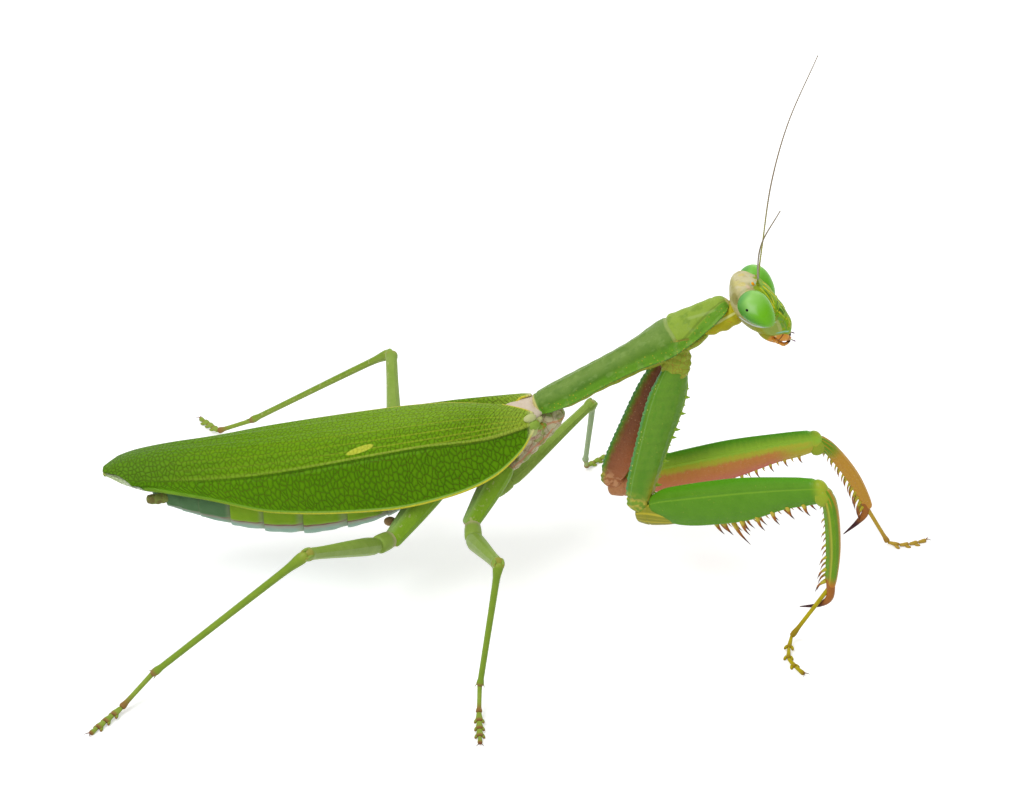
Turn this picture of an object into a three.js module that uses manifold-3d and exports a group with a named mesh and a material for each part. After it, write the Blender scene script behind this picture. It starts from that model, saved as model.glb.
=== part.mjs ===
// A praying mantis at life size, standing still with its fore legs half raised.
// Millimetres, +X towards the head, +Y to the animal's left, +Z up, feet on Z = 0.
// While it is built, X = 0 and Y = 0 lie under the rear end of the neck shield. At the end the
// whole animal is moved, so that its own origin is the bottom centre of its bounding box.

import * as THREE from "three";
import { mergeVertices } from "three/addons/utils/BufferGeometryUtils.js";
import Module from "manifold-3d";

const wasm = await Module();
wasm.setup();

// ---------------------------------------------------------------- driving dimensions

const GAP = 0.25; // clearance between touching pieces
const SHIELD = { rear: [0.9, 0, 23.7], length: 26.7, rise: 29 }; // the pronotum's margin line and slope
const HEAD = { centre: [26.8, 0, 38.3], lean: 31, turn: -4.5 }; // midpoint of the eyes, face angle, turn
const EYE = { apart: 3.15, down: 0.17, out: 1.75, long: 2.69, deep: 1.74, taper: 0.3, lean: 13.7 };
const FEELER_RADIUS = 0.26;
const BODY_LINE = { height: 14, front: -14.3, rear: -43.8, segments: 8 }; // middle line of the abdomen
const WING = { hinge: 0.5, length: 51.7, thick: 0.5, costal: 0.35, sink: 1.2, trim: 0.115, trimInner: 0.03 };
const FAN = { hinge: -8.5, length: 42.7, inner: 0.3 }; // hind wings, folded under the fore wings

// Lengths of the segments of each pair of legs; root is the joint with the body on the left side.
const LEGS = {
  fore: { root: [17, 1.7, 29.6], coxa: 19, trochanter: 3.4, femur: 22.5, tibia: 12.9 },
  mid: { root: [-2.7, 2.8, 17.1], coxa: 7.6, trochanter: 2, femur: 15.9, tibia: 14.9 },
  hind: { root: [-11, 3, 15.8], coxa: 8.7, trochanter: 2.2, femur: 20.2, tibia: 25 },
};

// The pose: azimuth and elevation in degrees of three segments of each leg, azimuth 0 forwards and
// 90 to the left; then azimuth, end height and length of its heel segment and of each bend of its foot.
const POSE = {
  fore_right: { coxa: [-172, -80], femur: [-33, 22], tibia: [-51, -82.5] },
  fore_left: { coxa: [168, -71], femur: [5, 8.2], tibia: [9, -57] },
  mid_right: { coxa: [-148, -47], femur: [-82, 16], tibia: [-121, -72] },
  mid_left: { coxa: [133, -80], femur: [42, 20], tibia: [91, -60] },
  hind_right: { coxa: [-148, -41], femur: [-119, 25], tibia: [176, -42] },
  hind_left: { coxa: [150, -54], femur: [92, 22.8], tibia: [157, -34.4] },
};
const FEET = {
  fore_right: { heel: [175.4, 0.9, 8.15], foot: [[-104, 0.35, 3.7], [-74, 0.24, 1.3], [-61.6, 0.22, 2.4]] },
  fore_left: { heel: [-42.1, 0.6, 4.92], foot: [[-9, 0.3, 1.5], [13, 0.24, 2], [20.8, 0.22, 1.8]] },
  mid_right: { heel: [-94, 0.9, 3.5], foot: [[-91, 0.22, 5.1]] },
  mid_left: { heel: [81, 0.5, 3.5], foot: [[45, 0.22, 5.1]] },
  hind_right: { heel: [-135, 0.7, 5.3], foot: [[-128, 0.22, 5.4]] },
  hind_left: { heel: [158, 0.9, 5.3], foot: [[120, 0.22, 5.4]] },
};
// Points of each fore claw past the ankle: how far along the shin and how far towards the thigh.
const CLAW = {
  fore_right: [[1.3, 0.3], [2.5, 1.7], [3.3, 4.3]],
  fore_left: [[0.3, 0.9], [0.9, 2.3], [1.4, 4.7]],
};
const SAG = { mid_right: 1.6, mid_left: -0.3, hind_right: 1.2, hind_left: 0.6 }; // of a thigh's base

// ---------------------------------------------------------------- finishes

const finish = (color, roughness) => new THREE.MeshStandardMaterial({ color, roughness, metalness: 0 });
const SHELL = finish("#6aa53a", 0.45);
const LEG = finish("#6f9c32", 0.45);
const RUSSET = finish("#a8603a", 0.5);
const LEAF = finish("#4c9a12", 0.5);
const MEMBRANE = finish("#cfd8b4", 0.4);
const FLESH = finish("#b9a98a", 0.6);
const BELLY = finish("#7fa98a", 0.5);
const CORNEA = finish("#5cc23c", 0.15);
const JAW = finish("#c77a24", 0.4);
const FEELER = finish("#6d5a3a", 0.6);

// ---------------------------------------------------------------- directions and smooth values

const UP = new THREE.Vector3(0, 0, 1);
const FORWARD = new THREE.Vector3(1, 0, 0);
const radians = THREE.MathUtils.degToRad;
const vector = ([x, y, z]) => new THREE.Vector3(x, y, z);
const onSide = ([x, y, z], side) => new THREE.Vector3(x, side * y, z);

/** Unit vector of an azimuth and an elevation in degrees. */
function heading([azimuth, elevation]) {
  const [a, e] = [radians(azimuth), radians(elevation)];
  return new THREE.Vector3(Math.cos(a) * Math.cos(e), Math.sin(a) * Math.cos(e), Math.sin(e));
}

/** The part of a direction that is square to an axis, at unit length. */
const square = (direction, axis) => direction.clone().projectOnPlane(axis).normalize();

/** The point some way along a direction and some way off it. */
const beside = (from, axis, along, off = UP, lift = 0) =>
  from.clone().addScaledVector(axis, along).addScaledVector(off, lift);

/** Smooth value at t of rows [t, value, ...]: a cubic between the rows, level past both ends. */
function blend(rows, t, column = 1) {
  const last = rows.length - 1;
  const row = (k) => rows[Math.min(Math.max(k, 0), last)];
  const slope = (k) => (row(k + 1)[column] - row(k - 1)[column]) / (row(k + 1)[0] - row(k - 1)[0]);
  let i = 0;
  while (i < last - 1 && t > rows[i + 1][0]) i++;
  const width = row(i + 1)[0] - row(i)[0];
  const s = Math.min(Math.max((t - row(i)[0]) / width, 0), 1);
  const [a, b, m, n] = [row(i)[column], row(i + 1)[column], slope(i) * width, slope(i + 1) * width];
  return a + s * (m + s * (3 * (b - a) - 2 * m - n + s * (m + n - 2 * (b - a))));
}

// ---------------------------------------------------------------- solids

/** Moves every vertex of a geometry to where(x, y, z). */
function warp(geometry, where) {
  const points = geometry.attributes.position;
  for (let i = 0; i < points.count; i++) {
    const p = where(points.getX(i), points.getY(i), points.getZ(i));
    points.setXYZ(i, p.x, p.y, p.z);
  }
  return geometry;
}

/** A closed geometry as a manifold solid whose faces point out. */
function solid(geometry) {
  geometry.deleteAttribute("normal");
  geometry.deleteAttribute("uv");
  const merged = mergeVertices(geometry, 1e-4);
  const triangles = [];
  for (let i = 0; i < merged.index.count; i += 3) {
    const [a, b, c] = merged.index.array.slice(i, i + 3);
    if (a !== b && b !== c && c !== a) triangles.push(a, b, c);
  }
  const build = (list) =>
    new wasm.Manifold(
      new wasm.Mesh({
        numProp: 3,
        vertProperties: new Float32Array(merged.attributes.position.array),
        triVerts: new Uint32Array(list),
      }),
    );
  const made = build(triangles);
  return made.volume() < 0 ? build(triangles.reverse()) : made;
}

/** A solid with more solids joined to it. */
const joined = (body, extras) => extras.reduce((whole, extra) => whole.add(extra), body);

/**
 * A limb: rings carried along a smooth path and closed at both ends.
 * rows: [share of the length, half-width, rise above the path, drop below it], one ring each,
 * with more rings between them where there are more steps.
 */
function loft({ path, up, rows, steps = 1, sides = 8, frame = null }, grow) {
  const curve = new THREE.CatmullRomCurve3(path, false, "centripetal");
  const shares = [rows[0][0]];
  for (let i = 1; i < rows.length; i++) {
    for (let k = 1; k <= steps; k++) {
      shares.push(rows[i - 1][0] + ((rows[i][0] - rows[i - 1][0]) * k) / steps);
    }
  }
  const last = shares.length - 1;
  const profile = shares.map((_, i) => new THREE.Vector2(1, i));
  const ends = [new THREE.Vector2(0, 0), new THREE.Vector2(0, last)];
  const tube = new THREE.LatheGeometry([ends[0], ...profile, ends[1]], sides);
  warp(tube, (x, y, z) => {
    const t = shares[Math.round(y)];
    const tangent = curve.getTangentAt(t);
    const side = up.clone().cross(tangent).normalize();
    const top = tangent.clone().cross(side);
    return curve
      .getPointAt(t)
      .addScaledVector(tangent, grow * (2 * t - 1))
      .addScaledVector(side, x * (blend(rows, t, 1) + grow))
      .addScaledVector(top, z * (blend(rows, t, z > 0 ? 2 : 3) + grow));
  });
  if (frame) tube.applyMatrix4(frame);
  return solid(tube);
}

/** A straight thorn, sunk a little into what it grows from. */
function thorn(root, direction, length, radius, grow) {
  const cone = new THREE.ConeGeometry(radius + grow, length + grow, 4, 1);
  cone.translate(0, (length + grow) / 2, 0);
  cone.applyQuaternion(new THREE.Quaternion().setFromUnitVectors(new THREE.Vector3(0, 1, 0), direction));
  cone.translate(root.x, root.y, root.z);
  return solid(cone);
}

/** A leaf of even thickness over a surface point(q, t), with q and t from 0 to 1. */
function leaf(point, [long, wide], grow) {
  const reach = 1e-3;
  const board = new THREE.BoxGeometry(1, 1, 1, long, wide, 1);
  warp(board, (x, y, z) => {
    const q = (1 - Math.cos(Math.PI * (x + 0.5))) / 2; // closer together at both ends
    const t = y + 0.5;
    const before = (value) => Math.max(value - reach, 0);
    const after = (value) => Math.min(value + reach, 1);
    const along = point(after(q), t).sub(point(before(q), t)).normalize();
    const across = point(q, after(t)).sub(point(q, before(t))).normalize();
    const normal = along.clone().cross(across).normalize();
    return point(q, t)
      .addScaledVector(normal, z * (WING.thick + 2 * grow))
      .addScaledVector(along, grow * (2 * q - 1))
      .addScaledVector(across, grow * (2 * t - 1));
  });
  return solid(board);
}

// ---------------------------------------------------------------- nodes

const animal = new THREE.Group();
const shapes = new Map(); // node name -> function of the clearance that gives its uncut shape

/** Adds a node: its shape, cleared from the named neighbours that were made before it. */
function piece(name, material, shape, neighbours = [], cutter = null) {
  shapes.set(name, shape);
  let body = shape(0);
  for (const other of neighbours) body = body.subtract(shapes.get(other)(GAP));
  if (cutter) body = body.subtract(cutter);
  const [largest] = body.decompose().sort((a, b) => b.volume() - a.volume());
  const { numProp, numVert, vertProperties, triVerts } = largest.getMesh();
  const positions = new Float32Array(numVert * 3);
  for (let i = 0; i < numVert; i++) {
    positions.set(vertProperties.subarray(i * numProp, i * numProp + 3), i * 3);
  }
  const geometry = new THREE.BufferGeometry();
  geometry.setAttribute("position", new THREE.BufferAttribute(positions, 3));
  geometry.setIndex(new THREE.BufferAttribute(triVerts, 1));
  geometry.computeVertexNormals();
  const mesh = new THREE.Mesh(geometry, material);
  mesh.name = name;
  animal.add(mesh);
}

/** A node that is a single limb, cleared from its neighbours. */
const limb = (name, material, shape, neighbours, cutter) =>
  piece(name, material, (grow) => loft(shape, grow), neighbours, cutter);

/** Rows of a limb that is round, or flattened from side to side. */
const round = (rows, flat = 1) => rows.map(([t, radius]) => [t, radius * flat, radius, radius]);

// ---------------------------------------------------------------- neck shield and prothorax

const shieldDirection = heading([0, SHIELD.rise]);
const shieldUp = heading([180, 90 - SHIELD.rise]);
const onShield = (share, lift) =>
  beside(vector(SHIELD.rear), shieldDirection, share * SHIELD.length, shieldUp, lift);

limb("pronotum", SHELL, {
  path: [onShield(0, 0), onShield(1, 0)],
  up: shieldUp,
  rows: [
    [0, 1.5, 1.4, 0.1],
    [0.03, 2, 1.9, 0.35],
    [0.12, 2.15, 1.9, 0.45],
    [0.38, 2.15, 2.05, 0.45],
    [0.53, 2.5, 2.35, 0.45],
    [0.66, 3.35, 2.7, 0.45],
    [0.77, 3, 2.8, 0.45],
    [0.85, 2.3, 2.8, 0.3],
    [0.92, 1.8, 2.6, 0.1],
    [0.97, 1.4, 2.3, 0.1],
    [1, 0.9, 1.9, 0.1],
  ],
  sides: 12,
});

limb("prothorax", SHELL, {
  path: [onShield(0.1, -0.7), onShield(0.84, -0.7)],
  up: shieldUp,
  rows: [
    [0, 1, 0.3, 0.3],
    [0.1, 1.5, 0.3, 0.7],
    [0.5, 1.6, 0.3, 0.8],
    [0.75, 2.3, 0.3, 1.2],
    [0.92, 2, 0.3, 1],
    [1, 1.2, 0.3, 0.5],
  ],
}, ["pronotum"]);

// ---------------------------------------------------------------- head

// Head axes: x to the animal's right, y down the face from crown to mouth, z out of the face.
const faceOut = heading([0, HEAD.lean]);
const headFrame = new THREE.Matrix4()
  .makeTranslation(...HEAD.centre)
  .multiply(new THREE.Matrix4().makeRotationZ(radians(HEAD.turn)))
  .multiply(new THREE.Matrix4().makeBasis(vector([0, -1, 0]), heading([0, HEAD.lean - 90]), faceOut));
const onHead = ([x, y, z]) => new THREE.Vector3(x, y, z).applyMatrix4(headFrame);

for (const [name, side] of [["eye_right", 1], ["eye_left", -1]]) {
  piece(name, CORNEA, (grow) => {
    const ball = new THREE.SphereGeometry(1, 14, 9);
    const deep = (y) => (EYE.deep + grow) * (1 - EYE.taper * y); // slimmer towards the mouth
    warp(ball, (x, y, z) => new THREE.Vector3(x * (EYE.out + grow), y * (EYE.long + grow), z * deep(y)));
    ball.rotateX(radians(EYE.lean));
    ball.translate(side * EYE.apart, EYE.down, 0);
    return solid(ball.applyMatrix4(headFrame));
  });
}

limb("head", SHELL, {
  path: [
    [0, -3.4, -1.4],
    [0, -1.5, -0.9],
    [0, 1, -0.5],
    [0, 3.5, -0.1],
    [0, 5.2, 0.5],
    [0, 6.9, 1.1],
  ].map(vector),
  up: UP,
  rows: [
    [0, 1.4, 0.5, 0.4],
    [0.06, 2.5, 1.2, 1],
    [0.18, 3, 2, 2],
    [0.35, 3, 2.4, 2.5],
    [0.55, 2.5, 2.4, 2.5],
    [0.72, 1.9, 2.25, 2],
    [0.88, 1.4, 1.65, 1.1],
    [1, 1, 1, 0.4],
  ],
  sides: 12,
  frame: headFrame,
}, ["eye_right", "eye_left"]);

limb("mouthparts", JAW, {
  path: [[0, 3.6, -1.7], [0, 5.2, -1.1], [0, 7.1, -0.1]].map(onHead),
  up: faceOut,
  rows: [
    [0, 0.9, 0.5, 0.4],
    [0.3, 1.3, 0.9, 0.7],
    [0.7, 1.15, 0.9, 0.6],
    [1, 0.5, 0.3, 0.3],
  ],
}, ["head"]);

limb("neck", SHELL, {
  path: [onShield(0.8, -0.1), onShield(0.92, -0.2), onHead([0, 0.3, -2.2])],
  up: shieldUp,
  rows: [
    [0, 1.4, 1.2, 0.9],
    [0.4, 1.7, 1.5, 1.5],
    [1, 1.5, 1.3, 1.7],
  ],
}, ["pronotum", "prothorax", "head"]);

// Each feeler: its root on the head, and points that it passes up to its tip.
const FEELERS = {
  antenna_right: [[0.7, -1.7, 1], [26.4, -3, 43.6], [25.5, -11, 50.7], [25.4, -24, 61.2]],
  antenna_left: [[-0.7, -1.7, 1], [27.4, 3, 43.4], [29.5, 10, 48.4], [32.1, 16, 53.4], [36.1, 21.2, 59.8]],
};
for (const [name, [root, ...points]] of Object.entries(FEELERS)) {
  limb(name, FEELER, {
    path: [onHead(root), ...points.map(vector)],
    up: FORWARD,
    rows: round([[0, 0.45], [0.05, FEELER_RADIUS], [0.5, FEELER_RADIUS], [1, FEELER_RADIUS]]),
    steps: 4,
    sides: 5,
  }, ["head", "eye_right", "eye_left"]);
}

// ---------------------------------------------------------------- thorax

limb("mesothorax", FLESH, {
  path: [[4.4, 0, 23.2], [0, 0, 21.9], [-6.3, 0, 19.4]].map(vector),
  up: UP,
  rows: [
    [0, 0.9, 0.6, 0.6],
    [0.12, 1.6, 1.2, 1.4],
    [0.4, 2.5, 2, 3.1],
    [0.75, 2.9, 2.3, 3.9],
    [1, 2.7, 2.4, 3.3],
  ],
  sides: 10,
}, ["pronotum", "prothorax"]);

limb("metathorax", FLESH, {
  path: [[-6.6, 0, 19.3], [-10, 0, 18], [-14, 0, 16.6]].map(vector),
  up: UP,
  rows: [
    [0, 2.7, 2.4, 3.2],
    [0.3, 3, 2.8, 3.9],
    [0.8, 3.1, 3, 3.7],
    [1, 2.9, 2.6, 3.3],
  ],
  sides: 10,
}, ["mesothorax"]);

// ---------------------------------------------------------------- abdomen

// [share of the length, half-width, rise above the middle line, drop below it]
const ABDOMEN = [
  [0, 3.2, 5, 2.6],
  [0.15, 4.4, 4.6, 4.7],
  [0.42, 4.8, 4.1, 6.2],
  [0.65, 4.5, 3, 5.4],
  [0.85, 3.4, 1.9, 3.6],
  [1, 2, 1, 2],
];
const bodyX = (share) => BODY_LINE.front + share * (BODY_LINE.rear - BODY_LINE.front);
const SEGMENT_NAMES = Array.from({ length: BODY_LINE.segments }, (_, i) => "abdomen_" + (i + 1));

SEGMENT_NAMES.forEach((name, i) => {
  const share = (s) => (i + s) / BODY_LINE.segments;
  const row = (s, swell) => [s, ...[1, 2, 3].map((column) => swell * blend(ABDOMEN, share(s), column))];
  limb(name, i < 6 ? SHELL : BELLY, {
    path: [
      vector([bodyX(share(0)) - GAP / 2, 0, BODY_LINE.height]),
      vector([bodyX(share(1)) + GAP / 2, 0, BODY_LINE.height]),
    ],
    up: UP,
    rows: [row(0, 0.95), row(0.25, 1), row(0.85, 1.01), row(1, 0.97)],
    sides: 12,
  }, i === 0 ? ["metathorax"] : []);
});

limb("anal_plate", BELLY, {
  path: [[-44.1, 0, 13.9], [-45.5, 0, 13.6]].map(vector),
  up: UP,
  rows: [
    [0, 1.6, 1.1, 1.2],
    [0.6, 1.2, 0.7, 0.9],
    [1, 0.7, 0.3, 0.4],
  ],
});

for (const [name, side] of [["cercus_right", -1], ["cercus_left", 1]]) {
  limb(name, BELLY, {
    path: [[-43.6, 1.7, 13.9], [-44.8, 2, 13.8], [-45.9, 2, 13.8]].map((p) => onSide(p, side)),
    up: UP,
    rows: round([[0, 0.7], [0.5, 0.75], [1, 0.6]]),
    sides: 6,
  }, ["anal_plate", "abdomen_8"]);
}

// ---------------------------------------------------------------- wings

// Against the share of a fore wing's length: height of the ridge of the folded pair, half-width at
// the main veins, how far the veins lie under the ridge, how far the outer edge hangs under them
// and stands out, and how far the inner edge reaches over the middle of the back.
const RIDGE = [[0, 25], [0.2, 23.6], [0.4, 22.15], [0.6, 20.75], [0.76, 19.7], [0.9, 18.75], [0.96, 18.05], [1, 17.1]];
const VEIN = [
  [0, 3.2],
  [0.03, 3.7],
  [0.1, 4.5],
  [0.2, 5.2],
  [0.35, 5.5],
  [0.6, 5.1],
  [0.76, 4.1],
  [0.9, 3],
  [1, 1.9],
];
const DROP = [
  [0, 1.3],
  [0.1, 1.7],
  [0.35, 2.1],
  [0.6, 2.8],
  [0.76, 3],
  [0.9, 2.5],
  [1, 2],
];
const HANG = [
  [0, 0.8],
  [0.03, 2.8],
  [0.1, 4.9],
  [0.2, 6],
  [0.34, 6.3],
  [0.6, 4.15],
  [0.76, 1.6],
  [0.9, 0.35],
  [1, 0.15],
];
const FLARE = [
  [0, 0.6],
  [0.1, 1.4],
  [0.35, 1.2],
  [0.6, 0.9],
  [0.9, 0.3],
  [1, 0.1],
];
const INNER = [
  [0, -2.2],
  [0.03, -1.3],
  [0.1, 0.9],
  [0.2, 2.8],
  [0.34, 3.7],
  [0.6, 3.7],
  [0.76, 3.1],
  [0.92, 2.4],
  [1, 1.4],
];

/**
 * A point of a fore wing: along it from the hinge, and t across it from the outer to the inner edge.
 * The tip is rounded off: the wing ends sooner towards its edges.
 */
function foreWingPoint(along, t, side) {
  const trim = WING.trim * (1 - THREE.MathUtils.smoothstep(t, 0.2, 0.75));
  const q = along - (trim + WING.trimInner * THREE.MathUtils.smoothstep(t, 0.75, 1)) * along ** 6;
  const [vein, drop] = [VEIN, DROP].map((rows) => blend(rows, q));
  const inner = blend(INNER, q) * (side > 0 ? 0.6 : 1);
  const x = WING.hinge - q * WING.length;
  if (t < WING.costal) {
    const s = t / WING.costal;
    const bulge = 0.35 * Math.sin(Math.PI * s) * Math.sin(Math.PI * q);
    const out = vein + blend(FLARE, q) * (1 - s) ** 2 + bulge;
    return new THREE.Vector3(x, side * out, blend(RIDGE, q) - drop - blend(HANG, q) * (1 - s));
  }
  const y = -vein + ((t - WING.costal) / (1 - WING.costal)) * (vein + inner);
  const bend = side < 0 && y > 0 ? 0.15 * drop * (y / inner) ** 2 : drop * Math.abs(y / vein) ** 3;
  const under = side > 0 ? WING.sink * THREE.MathUtils.smoothstep(y, -inner - 2, -inner - 0.3) : 0;
  return new THREE.Vector3(x, -side * y, blend(RIDGE, q) - bend - under); // the left dips under the right
}

/** A point of a hind wing, which is folded like a fan and shows only past the tips of the fore wings. */
function hindWingPoint(q, t, side) {
  const x = FAN.hinge - q * FAN.length;
  const share = Math.min((WING.hinge - x) / WING.length, 1);
  const y = FAN.inner + t * (blend(FAN_OUT, q) - FAN.inner);
  const bend = Math.min(blend(FAN_BEND, q) * blend(DROP, share) * (y / blend(VEIN, share)) ** 3, 2.6);
  const under = blend(FAN_UNDER, q) + t * blend(FAN_TIP, q);
  return new THREE.Vector3(x, side * y, blend(RIDGE, share) - bend - under);
}
const FAN_OUT = [[0, 1.8], [0.2, 4], [0.5, 4.2], [0.7, 3.8], [0.86, 3.1], [0.94, 2.1], [0.98, 1.2], [1, 0.5]];
const FAN_UNDER = [[0, 2], [0.75, 2], [0.9, 1.25], [1, 0.8]];
const FAN_BEND = [[0, 0.6], [0.7, 0.7], [0.86, 0.8], [1, 1]];
const FAN_TIP = [[0, 0], [0.8, 0], [0.92, 0.1], [1, 0.4]];

for (const [name, side] of [["forewing_right", -1], ["forewing_left", 1]]) {
  piece(name, LEAF, (grow) => leaf((q, t) => foreWingPoint(q, t, side), [13, 8], grow));
}
for (const [name, side] of [["hindwing_right", -1], ["hindwing_left", 1]]) {
  piece(name, MEMBRANE, (grow) => leaf((q, t) => hindWingPoint(q, t, side), [10, 3], grow),
    ["forewing_right", "forewing_left", "abdomen_7", "abdomen_8", "cercus_right", "cercus_left"]);
}

// ---------------------------------------------------------------- legs

/** The joints of one leg and the directions of its segments, from the body to the tip of the foot. */
function jointsOf(pair, name, side) {
  const [size, pose] = [LEGS[pair], POSE[name]];
  const [coxa, femur, tibia] = [pose.coxa, pose.femur, pose.tibia].map(heading);
  const root = onSide(size.root, side);
  const hip = beside(root, coxa, size.coxa);
  const thigh = beside(hip, femur, size.trochanter);
  const knee = beside(thigh, femur, size.femur);
  const ankle = beside(knee, tibia, size.tibia);
  const reach = (from, [azimuth, height, length]) => {
    const elevation = THREE.MathUtils.radToDeg(Math.asin((height - from.z) / length));
    return beside(from, heading([azimuth, elevation]), length);
  };
  const heel = reach(ankle, FEET[name].heel);
  const foot = [heel];
  for (const bend of FEET[name].foot) foot.push(reach(foot[foot.length - 1], bend));
  const ventral = square(tibia, femur); // the side of the thigh that the knee shuts on
  const back = ventral.clone().negate();
  return { root, hip, thigh, knee, ankle, foot, coxa, femur, tibia, back, ventral };
}

const SIDES = [["right", -1], ["left", 1]];

// Fore legs: coxa with a toothed front edge, trochanter, thorny femur, and a tibia with a comb and claw.
for (const [label, side] of SIDES) {
  const name = "fore_" + label;
  const leg = jointsOf("fore", name, side);
  const skin = side > 0 ? RUSSET : SHELL;
  const front = square(FORWARD, leg.coxa);
  const closing = square(leg.femur.clone().negate(), leg.tibia); // the side of the shin facing the thigh
  const aside = leg.femur.clone().cross(leg.back).normalize();

  const teeth = (grow) =>
    Array.from({ length: 7 }, (_, i) =>
      thorn(beside(leg.root, leg.coxa, 3.5 + 2 * i, front, 1.4 - 0.06 * i), front, 1.2, 0.4, grow),
    );
  const coxa = {
    path: [beside(leg.root, leg.coxa, -2.2), leg.hip],
    up: front,
    rows: [
      [0, 0.8, 1, 0.8],
      [0.08, 1.2, 1.9, 1.5],
      [0.3, 1.4, 2.3, 2.1],
      [0.6, 1.3, 1.8, 2.2],
      [0.9, 1.1, 1.5, 2.1],
      [1, 0.8, 0.9, 1.4],
    ],
  };
  piece("coxa_" + name, skin, (grow) => joined(loft(coxa, grow), teeth(grow)),
    ["prothorax", "pronotum", ...(side > 0 ? ["coxa_fore_right"] : [])]);

  limb("trochanter_" + name, skin, {
    path: [
      beside(leg.hip, leg.femur, -1.2, leg.ventral, 0.4),
      beside(leg.thigh, leg.femur, 1, leg.ventral, 0.6),
    ],
    up: leg.back,
    rows: [
      [0, 0.7, 0.7, 0.8],
      [0.3, 1.1, 1.3, 1.6],
      [0.75, 1.1, 1.3, 1.8],
      [1, 0.6, 0.8, 1.4],
    ],
  }, ["coxa_" + name]);

  // Two rows of thorns under the femur, longest a third of the way along.
  const thorns = (grow) =>
    Array.from({ length: 14 }, (_, k) => {
      const [i, row] = [Math.floor(k / 2), k % 2 ? 1 : -1];
      const root = beside(leg.thigh, leg.femur, 6 + 1.9 * i + 0.5 * row, leg.ventral, 2.4 - 0.16 * i);
      const lean = beside(leg.ventral, leg.femur, 0.3, aside, 0.2 * row).normalize();
      const length = 1.4 + 1.4 * Math.exp(-(((i - 1.4) / 1.4) ** 2));
      return thorn(beside(root, aside, 0.5 * row), lean, length, 0.36, grow);
    });
  const femur = {
    path: [leg.thigh, leg.knee],
    up: leg.back,
    rows: [
      [0, 0.8, 1.4, 1.2],
      [0.08, 1.2, 2, 2.2],
      [0.25, 1.4, 2.4, 3.1],
      [0.5, 1.35, 2.5, 2.9],
      [0.75, 1.1, 2.1, 1.8],
      [0.93, 1, 1.6, 1.5],
      [1, 0.6, 0.9, 0.9],
    ],
  };
  piece("femur_" + name, skin, (grow) => joined(loft(femur, grow), thorns(grow)), ["trochanter_" + name]);

  const comb = (grow) =>
    Array.from({ length: 8 }, (_, i) => {
      const lean = beside(closing, leg.tibia, 1.4).normalize();
      return thorn(beside(leg.knee, leg.tibia, 2.4 + 1.2 * i, closing, 0.5), lean, 1.4, 0.32, grow);
    });
  const claw = {
    path: [
      beside(leg.ankle, leg.tibia, -1.4, closing, 0),
      ...CLAW[name].map(([along, off]) => beside(leg.ankle, leg.tibia, along, closing, off)),
    ],
    up: closing,
    rows: round([[0, 0.6], [0.3, 0.6], [0.65, 0.35], [1, 0.08]]),
    sides: 6,
  };
  const tibia = {
    path: [
      beside(leg.knee, leg.femur, -0.3, leg.back, 0.2),
      beside(leg.knee, leg.tibia, 1.6, leg.femur, 0.4),
      beside(leg.knee, leg.tibia, LEGS.fore.tibia * 0.55, closing, -0.7),
      leg.ankle,
    ],
    up: closing,
    rows: [
      [0, 0.7, 0.7, 0.7],
      [0.15, 0.8, 0.9, 0.95],
      [0.55, 0.75, 1, 1],
      [0.88, 0.6, 0.8, 0.8],
      [1, 0.45, 0.5, 0.5],
    ],
  };
  piece("tibia_" + name, skin, (grow) => joined(loft(tibia, grow), [...comb(grow), loft(claw, grow)]),
    ["femur_" + name]);
}

// Walking legs: stout coxa, short trochanter, thigh that bends up from its base, and a thin shin.
const trunk = ["mesothorax", "metathorax", "abdomen_1", "abdomen_2"];
for (const [pair, thick] of [["mid", 1], ["hind", 1.1]]) {
  for (const [label, side] of SIDES) {
    const name = pair + "_" + label;
    const leg = jointsOf(pair, name, side);
    const scaled = (rows, flat) => round(rows.map(([t, radius]) => [t, radius * thick]), flat);

    limb("coxa_" + name, LEG, {
      path: [beside(leg.root, leg.coxa, -0.8), leg.hip],
      up: square(FORWARD, leg.coxa),
      rows: scaled([[0, 1.2], [0.15, 1.7], [0.5, 1.6], [0.85, 1.25], [1, 0.9]], 0.9),
    }, [...trunk, ...(side > 0 ? ["coxa_" + pair + "_right"] : [])]);

    limb("trochanter_" + name, LEG, {
      path: [beside(leg.hip, leg.coxa, -0.2, leg.femur, -0.6), beside(leg.thigh, leg.ventral, SAG[name])],
      up: leg.back,
      rows: scaled([[0, 0.7], [0.4, 1.1], [0.8, 1.05], [1, 0.8]]),
    }, ["coxa_" + name]);

    limb("femur_" + name, LEG, {
      path: [
        beside(leg.thigh, leg.ventral, SAG[name]),
        beside(leg.thigh, leg.femur, 0.4 * LEGS[pair].femur, leg.ventral, 0.6 * SAG[name]),
        beside(leg.knee, leg.femur, 0.3),
      ],
      up: leg.back,
      rows: round([[0, 0.75], [0.08, 1.05], [0.3, 1], [0.75, 0.72], [0.92, 0.72], [0.97, 0.85], [1, 0.5]]),
    }, ["trochanter_" + name]);

    limb("tibia_" + name, LEG, {
      path: [beside(leg.knee, leg.tibia, -0.2), beside(leg.knee, leg.tibia, 1, leg.femur, 0.15), leg.ankle],
      up: leg.femur,
      rows: scaled([[0, 0.45], [0.06, 0.58], [0.2, 0.44], [0.7, 0.38], [0.97, 0.45], [1, 0.34]]),
      sides: 7,
    }, ["femur_" + name]);
  }
}

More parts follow.
